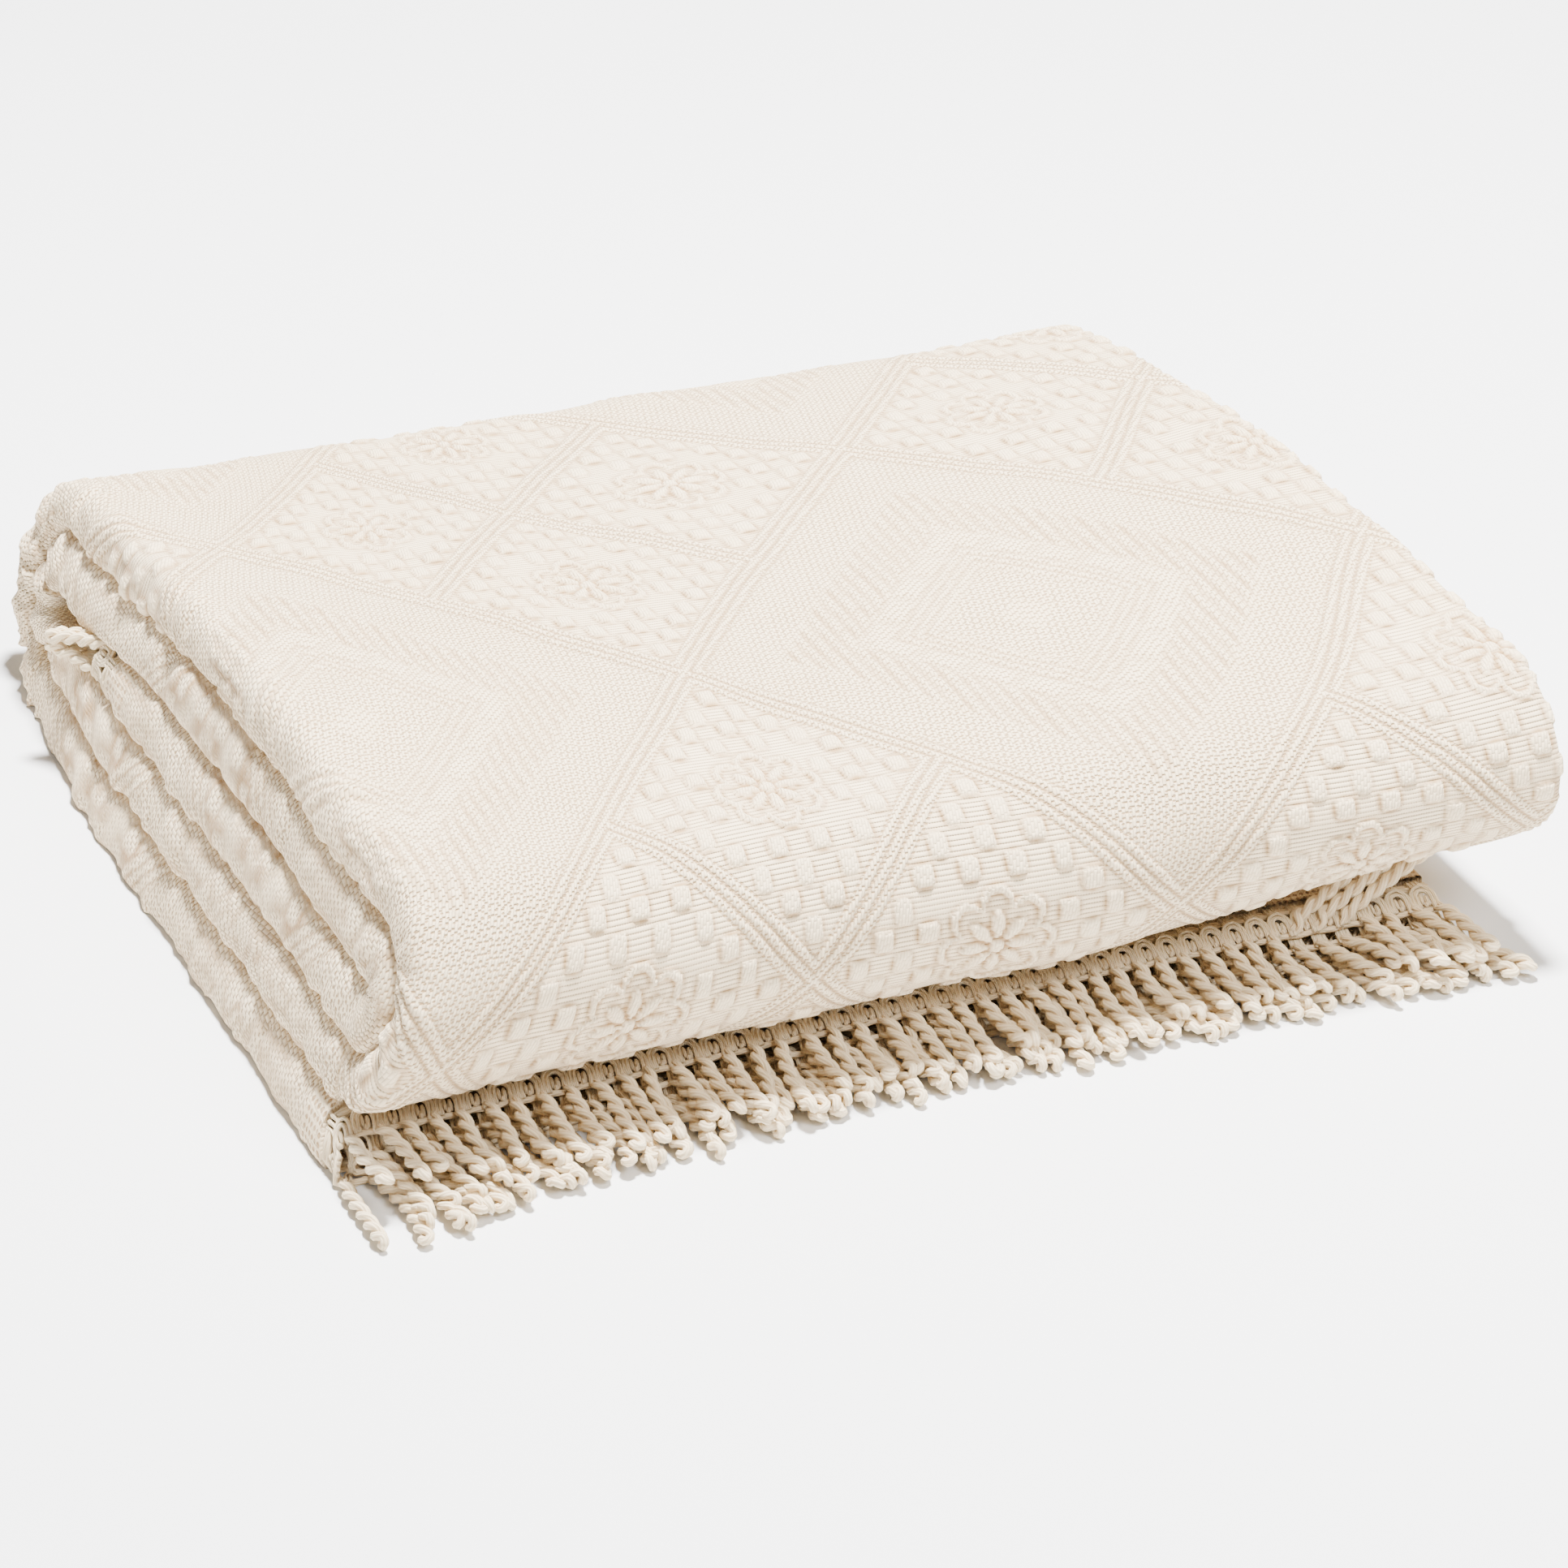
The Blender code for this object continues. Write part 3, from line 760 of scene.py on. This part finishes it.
# Bedspread, folds: all the rest of the same sheet, in one closed skin as thick as the cloth.
# Its rounded ends show on the left as loops, one inside the other, and its free edges on the right.
# The cells that the face pieces stand for are left out.
FOLDS_PACK = (
    ("run", FREE_X - LOOP_LEFT_X - TUCK, None, 7), ("run", TUCK, None, 4),
    ("turn", 1.5 * PLY, "right", 16), ("run", LOOP_REACH, None, 5),
    ("run", LOOP_RIGHT_X - LOOP_LEFT_X - LOOP_REACH, None, 7),
    ("turn", 0.5 * PLY, "right", 6), ("run", TUCK, None, 2),
    ("run", LOOP_RIGHT_X - LOOP_LEFT_X - TUCK, None, 6), ("turn", 0.5 * PLY, "left", 6),
    ("run", FREE_X - LOOP_LEFT_X, None, 7),
)
FOLDS_ROLL = (
    ("run", RUN - HEM_Y, None, 150), ("turn", 2.0 * BAND, "left", 60), ("run", RUN, None, 60),
    ("turn", 1.5 * BAND, "left", 22), ("run", RUN, None, 150), ("turn", 1.0 * BAND, "left", 44),
    ("run", RUN, None, 150), ("turn", 0.5 * BAND, "left", 12), ("run", INNER_HEM_Y, None, 112),
)
LOOP_RIBBED, LOOP_FLOATS = 0.35, 0.0
HIDDEN_COLUMNS = slice(steps_to(FOLDS_PACK, 1), steps_to(FOLDS_PACK, 7))
HIDDEN_ROWS = slice(steps_to(FOLDS_ROLL, 1), steps_to(FOLDS_ROLL, 4))

folds_pack = swollen(walk((FREE_X, -1.5 * PLY), math.pi, FOLDS_PACK))
folds_roll = walk((HEM_Y, BAND / 2 - BASE_LIFT), 0.0, FOLDS_ROLL)
folds_across = lengths(folds_pack)
folds_across += LOOP_LEFT_X - folds_across[steps_to(FOLDS_PACK, 3)]
folds_along = lengths(folds_roll, OUTER) - (RUN - HEM_Y) - math.pi * (2.0 * BAND + OUTER)
folds_across, folds_along = np.meshgrid(folds_across, folds_along, indexing="ij")
folds_notes, _ = weave_notes(folds_across, folds_along)
folds_notes["grounds"][:, 0] *= LOOP_RIBBED
folds_notes["lattice"][:, 2] *= LOOP_FLOATS
folds_lift = crumpled(folds_across, folds_along)
folds_outer = carried(folds_pack, folds_roll, -CLOTH / 2 - folds_lift)
folds_inner = carried(folds_pack, folds_roll, CLOTH / 2 - folds_lift)
folds_outer[:, 0] = carried(folds_pack, folds_roll[:1], -CLOTH / 2, -HEM_STAGGER)[:, 0]
folds_inner[:, 0] = carried(folds_pack, folds_roll[:1], CLOTH / 2, -HEM_STAGGER)[:, 0]


def skin(name, outer, inner, notes, used):
    """A closed skin round the used cells of a grid, with a rim wherever a used cell has no neighbour."""
    columns, lines = outer.shape[:2]
    corners = quads(np.arange(columns * lines).reshape(columns, lines))[used]
    half = columns * lines
    faces = corners.tolist() + (corners[:, ::-1] + half).tolist()
    edges = []
    for a, b, c, d in corners.tolist():
        edges += [(a, b), (b, c), (c, d), (d, a)]
    known = set(edges)
    for a, b in edges:
        if (b, a) not in known:
            faces.append([b, a, a + half, b + half])
    points = np.concatenate([outer.reshape(-1, 3), inner.reshape(-1, 3)])
    wanted = np.zeros(len(points), bool)
    wanted[[v for face in faces for v in face]] = True
    renumbered = np.cumsum(wanted) - 1
    faces = [renumbered[face].tolist() for face in faces]
    notes = {label: np.concatenate([values, values])[wanted] for label, values in notes.items()}
    return make_piece(name, points[wanted], faces, notes, woven_cotton, "bedspread_cloth")


used_cells = np.ones((folds_outer.shape[0] - 1, folds_outer.shape[1] - 1), bool)
used_cells[HIDDEN_COLUMNS, HIDDEN_ROWS] = False
bedspread_folds = skin("bedspread_folds", folds_outer, folds_inner, folds_notes, used_cells)


# Fringe: a bullion trim of thick cotton cord, sewn along both hems. Short posts of cord stand out
# from the hem under arched loops. The right foot of each arch runs on as a strand, two plies
# twisted on each other and turned back on themselves at the tip.
SEAM_GAP = 0.0008
STRAND_PITCH = 0.0126
CORD_RAISED, CORD_SUNK = 0.0009, 0.0012
# The last number of the posts, of the knots and of the chains is the share of painted shade on these cords,
# which lie deep in the trim.
POST_CORD, POST_APART, POST_START, POST_END, POST_SHADE = 0.00105, 0.0021, 0.0006, 0.0100, 0.08
ARCH_CORD, ARCH_RADIUS, ARCH_MIDDLE, ARCH_LEGS, ARCH_FOOT = 0.00100, 0.0046, 0.0136, 0.0165, 0.0200
ARCH_PAIR, STRAND_FOOT = 0.95, 0.95 * ARCH_RADIUS
KNOTS = ((-0.00135, 0.0118, 0.0166), (0.00125, 0.0124, 0.0174), (0.0, 0.0158, 0.0180))
KNOT_SWELL, KNOT_RAISED, KNOT_SHADE = (0.7, 1.1, 1.1, 0.7), 0.0004, 0.12
CHAINS = ((0.0026, 0.0), (0.0056, math.pi), (0.0178, 0.0))
CHAIN_CORD, CHAIN_STEP, CHAIN_WAVE, CHAIN_TURN, CHAIN_SHADE = 0.0015, 0.0050, 0.0004, 1.8, 0.25
HEADER_RISE, HEADER_SLOPE, HEADER_CREST = 0.0012, 0.42, 0.0080
PLY_RADIUS, PLY_OFF_CENTRE, TWIST, TWIST_SHADE_REACH = 0.00185, 0.00168, 0.0170, 0.0028
STRAND_START, STRAND_END, STRAND_FLOOR = 0.007, 0.008, 0.0041
NECK_SPREAD, TIP_SPREAD, NECK_THIN, TIP_THICK = 0.70, 0.22, 0.62, 0.06
TIP_TURN, TIP_BULGE = (0.25, 0.5, 0.75), 1.1
HEADER_FLOOR, CHAIN_FLOOR = 0.0015, 0.002

# The front strands: their lengths, how they fan out at both ends, and how high their tips lie
# over the floor, row by row from the floor up. Each strand differs a little from the next.
STRAND_LENGTH, LENGTH_UNEVEN, TOP_LONGER = 0.046, 0.0030, 0.002
RIGHT_SHORTER, MIDDLE_SHORTER = 0.010, 0.005
LEAN_UNEVEN, HEAP_UNEVEN, HEAP_FROM, HEAP_REACH, HEAP_HIGHER = 0.0032, 0.0040, 0.46, 0.09, 0.004
CORNER_FAN, CORNER_FAN_REACH = 0.010, 0.016
LEFT_FAN, RIGHT_FAN, FAN_REACH = 0.012, 0.016, 0.10
LOW_LONGER, LOW_LONGER_REACH = 0.010, 0.070
TOP_SHORTER, TOP_HIGHER, TOP_REACH = 0.012, 0.0070, 0.090
TIP_LEVELS, TIP_UNEVEN = (0.0040, 0.0056, 0.0088, 0.0100), (-0.0012, 0.0022)
BOW_UNEVEN, RIPPLE, RIPPLE_TURNS = 0.0022, 0.0008, 5.0
CROSS_FROM, CROSS_TO, CROSS_SPREAD = 0.478, 0.517, 0.48
CROSS_LEAN, CROSS_BACK, CROSS_LEVEL = 0.040, 0.0075, 0.0255

# The tufts of the inner trim, which lean out over the rolled end
TUFT_REACH, TUFT_FAN, TUFT_PAST, TUFT_UNEVEN = 0.060, 0.030, 0.010, 0.0015
TUFT_LENGTH, TUFT_GATHER = 0.042, 0.15

# The cord: fibres to half a turn of a ply, their slant, their height and the fuzz's, and colours, its own
# and that of its painted shade
FIBRES, FIBRE_SLANT, FIBRE_LINE, FUZZ = 7, 900.0, 0.26, 0.25
CORD_IVORY = (0.950, 0.780, 0.515, 1.0)
SHADED_CORD = (0.680, 0.470, 0.245, 1.0)


def cord_material():
    """Twisted cotton cord, warmer than the cloth, with its fibres lying along each ply, and painted shade
    in the grooves between them and deep in the trim.
    """
    material = bpy.data.materials.new("twisted_cotton")
    material.use_nodes = True
    tree = material.node_tree
    calc = maths(tree)
    shader = tree.nodes["Principled BSDF"]
    matt_cotton(shader, roughness=0.88)
    around, along, depth = kept_on_points(tree, "lay")
    turned = calc("MULTIPLY", around, FIBRES * math.tau)
    line = calc("SINE", calc("ADD", turned, calc("MULTIPLY", along, FIBRE_SLANT)))
    fuzz = calc("MULTIPLY", noise(tree, scale=1500.0, detail=2.0), FUZZ)
    raised_by(tree, shader, calc("ADD", calc("MULTIPLY", line, FIBRE_LINE), fuzz), strength=0.8)
    # Painted shade: the grooves between the fibres, the cords lying deep in the trim and the plies near a
    # twist's axis are darkened towards SHADED_CORD.
    groove = calc("MULTIPLY", eased(tree, calc("MULTIPLY", line, -1.0), 0.1, 0.9), 0.50)
    tone = blended(tree, CORD_IVORY, SHADED_CORD, calc("MAXIMUM", groove, depth))
    linked(tree, shader, "Base Color", tone)
    return material


twisted_cotton = cord_material()


def pitch_marks(stations):
    """Distances that part the hem into pitches, each fold's turning point being one of them."""
    spans = lengths(stations)
    ends = [0.0, *spans[np.abs(stations[:, 3]) < 1e-6], spans[-1]]
    marks = [0.0]
    for start, stop in zip(ends, ends[1:]):
        count = round((stop - start) / STRAND_PITCH)
        marks += [start + (stop - start) * (k + 1) / count for k in range(count)]
    return marks


class Cords:
    """Tubes of cord gathered into one mesh."""

    def __init__(self):
        self.points, self.faces, self.lay = [], [], []
        self.used = 0

    def tube(self, line, radius, sides, depth=0.0, axis=None):
        """A round cord along a line, closed at both ends.

        Depth is the share of painted shade its surface gets for lying deep in the trim. With the axis of a
        twist it is measured from there, point by point, the painted shade growing towards the axis between
        the plies.
        """
        line = np.asarray(line, float)
        radius = np.broadcast_to(radius, len(line))
        ahead = unit(np.gradient(line, axis=0))
        side = np.cross(ahead[0], (0.3, 0.2, 0.93))
        frames = []
        for way in ahead:
            side = unit(side - way * side.dot(way))
            frames.append((side, np.cross(way, side)))
        angle = np.arange(sides) * math.tau / sides
        a = np.array([f[0] for f in frames])[:, None]
        b = np.array([f[1] for f in frames])[:, None]
        ring = a * np.cos(angle)[None, :, None] + b * np.sin(angle)[None, :, None]
        ring = line[:, None] + radius[:, None, None] * ring
        count = len(line) * sides
        number = self.used + np.arange(count).reshape(len(line), sides)
        after = np.roll(number, -1, axis=1)
        faces = np.stack([number[:-1], after[:-1], after[1:], number[1:]], -1).reshape(-1, 4)
        self.points.append(ring.reshape(-1, 3))
        self.faces += faces.tolist() + [number[0, ::-1].tolist(), number[-1].tolist()]
        turn = np.minimum(np.arange(sides), sides - np.arange(sides)) / sides
        depth = np.full((len(line), sides), depth)
        # Painted shade, even along the cord, or on a twist growing towards its axis where the plies shade
        # each other.
        if axis is not None:
            from_axis = np.linalg.norm(ring - axis[:, None], axis=-1)
            depth = np.clip(1.0 - from_axis / TWIST_SHADE_REACH, 0.0, 1.0)
        lay = np.stack(np.broadcast_arrays(turn, way_along(line)[:, None], depth), -1)
        self.lay.append(lay.reshape(-1, 3))
        self.used += count

    def finish(self, name, node):
        """Makes the piece that stands for a node's cords."""
        points, notes = np.concatenate(self.points), {"lay": np.concatenate(self.lay)}
        return make_piece(name, points, self.faces, notes, twisted_cotton, node)


def bullion(cords, centre, start_turn, sides, per_turn):
    """One strand: a ply goes down the centre line in a spiral, turns at the tip and comes back."""
    spans = way_along(centre)
    steps = max(8, round(spans[-1] / TWIST * per_turn))
    at = np.linspace(0.0, spans[-1], steps)
    line = np.stack([np.interp(at, spans, centre[:, k]) for k in range(3)], -1)
    ahead = unit(np.gradient(line, axis=0))
    side = unit(np.cross(ahead, (0.0, 0.0, 1.0)))
    lift = np.cross(side, ahead)
    angle = start_turn + at / TWIST * math.tau
    begun, ended = ease(at / STRAND_START), ease((at - at[-1] + STRAND_END) / STRAND_END)
    swell = PLY_OFF_CENTRE * (NECK_SPREAD + (1 - NECK_SPREAD) * begun + TIP_SPREAD * ended)
    radius = PLY_RADIUS * (NECK_THIN + (1 - NECK_THIN) * begun + TIP_THICK * ended)
    reach = swell[:, None] * (side * np.cos(angle)[:, None] + lift * np.sin(angle)[:, None])
    bend = []
    for share in TIP_TURN:
        bow = math.pi * share
        outwards = ahead[-1] * swell[-1] * TIP_BULGE
        bend.append(line[-1] + reach[-1] * math.cos(bow) + outwards * math.sin(bow))
    path = np.concatenate([line + reach, bend, (line - reach)[::-1]])
    axis = np.concatenate([line, np.repeat(line[-1:], len(bend), axis=0), line[::-1]])
    thickness = np.concatenate([radius, np.full(len(bend), radius[-1]), radius[::-1]])
    cords.tube(path, thickness, sides, axis=axis)


def front_strand(x, y, z, row, random):
    """The line of a front strand in the true block, from the foot of its arch to its tip."""
    share = x / WIDTH
    heap = ease((x - HEAP_FROM) / HEAP_REACH)
    lean = RIGHT_FAN * math.exp((x - WIDTH) / FAN_REACH) + LEFT_FAN * math.exp(-x / FAN_REACH)
    lean += random.normal(0.0, LEAN_UNEVEN + HEAP_UNEVEN * heap)
    lean -= CORNER_FAN * math.exp(-max(x, 0.0) / CORNER_FAN_REACH)
    length = STRAND_LENGTH + random.normal(0.0, LENGTH_UNEVEN) + TOP_LONGER * (1 if row == 3 else -1)
    length -= RIGHT_SHORTER * share + MIDDLE_SHORTER * 4 * share * (1 - share)
    if row < 2:
        length += LOW_LONGER * math.exp(-x / LOW_LONGER_REACH)
    near_left = math.exp(-max(x, 0.0) / TOP_REACH) if row == 3 else 0.0
    length -= TOP_SHORTER * near_left
    tip = TIP_LEVELS[row] + random.uniform(*TIP_UNEVEN)
    tip += HEAP_HIGHER * heap * (row > 1) + TOP_HIGHER * near_left
    bow, phase = random.normal(0.0, BOW_UNEVEN), random.uniform(0.0, math.tau)
    s = np.linspace(0.0, 1.0, 13)
    if row == 3 and CROSS_FROM < x < CROSS_TO:
        back = CROSS_BACK - CROSS_SPREAD * (x - CROSS_FROM)
        return x + CROSS_LEAN * s, y + (back - y) * ease(s * 2), z + (CROSS_LEVEL - z) * ease(s * 3)
    height = z + (tip - z) * ease(s * 1.15) + RIPPLE * np.sin(RIPPLE_TURNS * s + phase) * s
    return x + lean * s + bow * np.sin(math.pi * s), y - length * s, height


def inner_strand(x, y, z, row, random):
    """The line of a tuft at the rolled end."""
    middle = 2.5 * BAND - BASE_LIFT
    lean = -min(TUFT_FAN * (1 - x / TUFT_REACH), x + TUFT_PAST) + random.normal(0.0, TUFT_UNEVEN)
    s = np.linspace(0.0, 1.0, 11)
    return x + lean * s, y + TUFT_LENGTH * s, z + (middle - z) * TUFT_GATHER * s


def make_fringe(name, node, hem, way, shift, strand, rows, reach, seed):
    """The trim along the chosen rows of a hem, as far along x as reach.

    Hem is its station on the roll, and way points out of the cloth.
    """
    random = np.random.default_rng(seed)
    cords = Cords()
    spans = lengths(folds_pack)

    def placed(along, out, lift=0.0, low=0.0):
        """Points of the trim, so far along the hem and so far out from it, as they lie in the bundle."""
        along, out = np.broadcast_arrays(np.asarray(along, float), np.asarray(out, float))
        x, t = (np.interp(along, spans, folds_pack[:, k]) for k in (0, 1))
        y = hem[0] + t * hem[2] + shift * t / PLY + way * (SEAM_GAP + out)
        z = hem[1] + t * hem[3] + lift
        if way < 0:
            z = z + HEADER_RISE * ease(out / HEADER_CREST)
            z = z - HEADER_SLOPE * np.maximum(out - HEADER_CREST, 0.0)
        return x, y, np.maximum(z, low)

    def row_at(along):
        """Which ply a place on the hem belongs to, counted up from the floor."""
        t = float(np.interp(along, spans, folds_pack[:, 1]))
        return min(3, int((1.5 * PLY - t) / PLY + 0.5))

    def dressed(along, out):
        """Whether a place on the hem is one of those that get their cords here."""
        return along <= spans[-1] and row_at(along) in rows and placed(along, out)[0] < reach

    for out, wave in CHAINS:
        stretch = []
        for k in range(int(spans[-1] / CHAIN_STEP) + 2):
            if dressed(k * CHAIN_STEP, out):
                stretch.append((k * CHAIN_STEP, out + CHAIN_WAVE * math.sin(k * CHAIN_TURN + wave)))
                continue
            if len(stretch) > 2:
                line = settle(*placed(*np.transpose(stretch), -CORD_SUNK, CHAIN_FLOOR))
                cords.tube(line, CHAIN_CORD, 6, CHAIN_SHADE)
            stretch = []

    marks = pitch_marks(folds_pack)
    for start, stop in zip(marks, marks[1:]):
        middle = (start + stop) / 2
        row = row_at(middle)
        heading = -1.0 if row in (1, 3) else 1.0
        if row not in rows or placed(middle, ARCH_FOOT)[0] > reach:
            continue
        seen = row == 3 or way > 0
        post = np.linspace(POST_START, POST_END, 4)
        for step in (-1, 0, 1):
            line = settle(*placed(middle + step * POST_APART, post, 0.0, HEADER_FLOOR))
            cords.tube(line, POST_CORD, 6 if seen else 5, POST_SHADE)
        turn = np.linspace(math.pi, 0.0, 9 if seen else 7)
        for side in (-ARCH_PAIR, ARCH_PAIR):
            radius = ARCH_RADIUS + side * ARCH_CORD
            across = radius * np.array([-0.9, -1.0, *np.cos(turn), 1.0, 0.92])
            bow = ARCH_MIDDLE - radius * np.sin(turn)
            out = np.array([ARCH_FOOT - 0.001, ARCH_LEGS, *bow, ARCH_LEGS, ARCH_FOOT])
            line = settle(*placed(middle + heading * across, out, CORD_RAISED, HEADER_FLOOR))
            cords.tube(line, ARCH_CORD, 7 if seen else 5)
        if seen:
            for across, begin, end in KNOTS:
                line = settle(*placed(middle + heading * across, np.linspace(begin, end, 4), KNOT_RAISED))
                cords.tube(line, POST_CORD * np.array(KNOT_SWELL), 6, KNOT_SHADE)
        foot = placed(middle + heading * STRAND_FOOT, ARCH_FOOT - 0.0015, CORD_RAISED)
        line = settle(*strand(*map(float, foot), row, random))
        line[:, 2] = np.maximum(line[:, 2], STRAND_FLOOR)
        bullion(cords, line, random.uniform(0.0, math.tau), 9 if seen else 7, 16 if seen else 11)
    return cords.finish(name, node)


front_trim = ("front_fringe", folds_roll[0], -1, -HEM_STAGGER, front_strand)
inner_trim = ("inner_fringe", folds_roll[-1], 1, 0.0, inner_strand)
fringe_pieces = [
    make_fringe("front_fringe_upper", *front_trim, (3,), WIDTH, 5),
    make_fringe("front_fringe_lower", *front_trim, (0, 1, 2), WIDTH, 8),
    make_fringe("inner_fringe_tufts", *inner_trim, (0, 1, 2, 3), TUFT_REACH, 3),
]


# Studio: a plain white floor that runs out of view, with soft lights from above, the front and
# the left, and a dim white sky round it.
FLOOR_REACH, FLOOR_WHITE = 6.0, (0.80, 0.80, 0.80, 1.0)
SKY_STRENGTH = 0.14
floor_mesh = bpy.data.meshes.new("floor")
corners = [(FLOOR_REACH * x, FLOOR_REACH * y, 0) for x, y in ((-1, -1), (1, -1), (1, 1), (-1, 1))]
floor_mesh.from_pydata(corners, [], [(0, 1, 2, 3)])
floor = bpy.data.objects.new("floor", floor_mesh)
bpy.context.scene.collection.objects.link(floor)
floor_paint = bpy.data.materials.new("floor_white")
floor_paint.use_nodes = True
paint = floor_paint.node_tree.nodes["Principled BSDF"].inputs
paint["Base Color"].default_value = FLOOR_WHITE
paint["Roughness"].default_value = 1.0
paint["Specular IOR Level"].default_value = 0.0
floor_mesh.materials.append(floor_paint)

# Columns: name, place, size in metres, power in watts
LIGHTS = (
    ("overhead", (0.35, 0.20, 2.9), 0.5, 610.0),
    ("front_fill", (0.7, -1.9, 2.2), 1.2, 95.0),
    ("left_fill", (-2.2, -0.4, 0.8), 1.6, 12.0),
)
BUNDLE_MIDDLE = (0.0, 0.0, 0.05)
for name, place, size, power in LIGHTS:
    light = bpy.data.lights.new(name, "AREA")
    light.shape = "DISK"
    light.size = size
    light.energy = power
    lamp = bpy.data.objects.new(name, light)
    lamp.location = place
    lamp.rotation_euler = (Vector(BUNDLE_MIDDLE) - Vector(place)).to_track_quat("-Z", "Y").to_euler()
    bpy.context.scene.collection.objects.link(lamp)

sky = bpy.data.worlds.new("studio")
bpy.context.scene.world = sky
sky.use_nodes = True
sky.node_tree.nodes["Background"].inputs["Color"].default_value = (1.0, 1.0, 1.0, 1.0)
sky.node_tree.nodes["Background"].inputs["Strength"].default_value = SKY_STRENGTH

# Camera: the photograph's view of the bundle, from the front left and above with a long lens.
# Its place and its angles, in metres and degrees, were worked out from the woven lattice and
# the outline.
CAMERA_PLACE = (-0.9581, -2.2595, 1.3472)
CAMERA_YAW, CAMERA_PITCH, CAMERA_ROLL = 23.5776, 28.509, 0.567
PHOTO_WIDTH, FOCAL_PIXELS, SENSOR = 1932, 7417.3, 36.0
FAR_ENOUGH = 50.0

yaw, pitch, roll_angle = (math.radians(a) for a in (CAMERA_YAW, CAMERA_PITCH, CAMERA_ROLL))
forward = Vector((math.sin(yaw) * math.cos(pitch), math.cos(yaw) * math.cos(pitch), -math.sin(pitch)))
level = Vector((math.cos(yaw), -math.sin(yaw), 0.0))
upward = level.cross(forward)
right = level * math.cos(roll_angle) + upward * math.sin(roll_angle)
up = upward * math.cos(roll_angle) - level * math.sin(roll_angle)
camera = bpy.data.objects.new("camera", bpy.data.cameras.new("camera"))
camera.matrix_world = Matrix.Translation(CAMERA_PLACE) @ Matrix((right, up, -forward)).transposed().to_4x4()
camera.data.sensor_width = SENSOR
camera.data.lens = FOCAL_PIXELS / PHOTO_WIDTH * SENSOR
camera.data.clip_end = FAR_ENOUGH
bpy.context.scene.collection.objects.link(camera)
bpy.context.scene.camera = camera
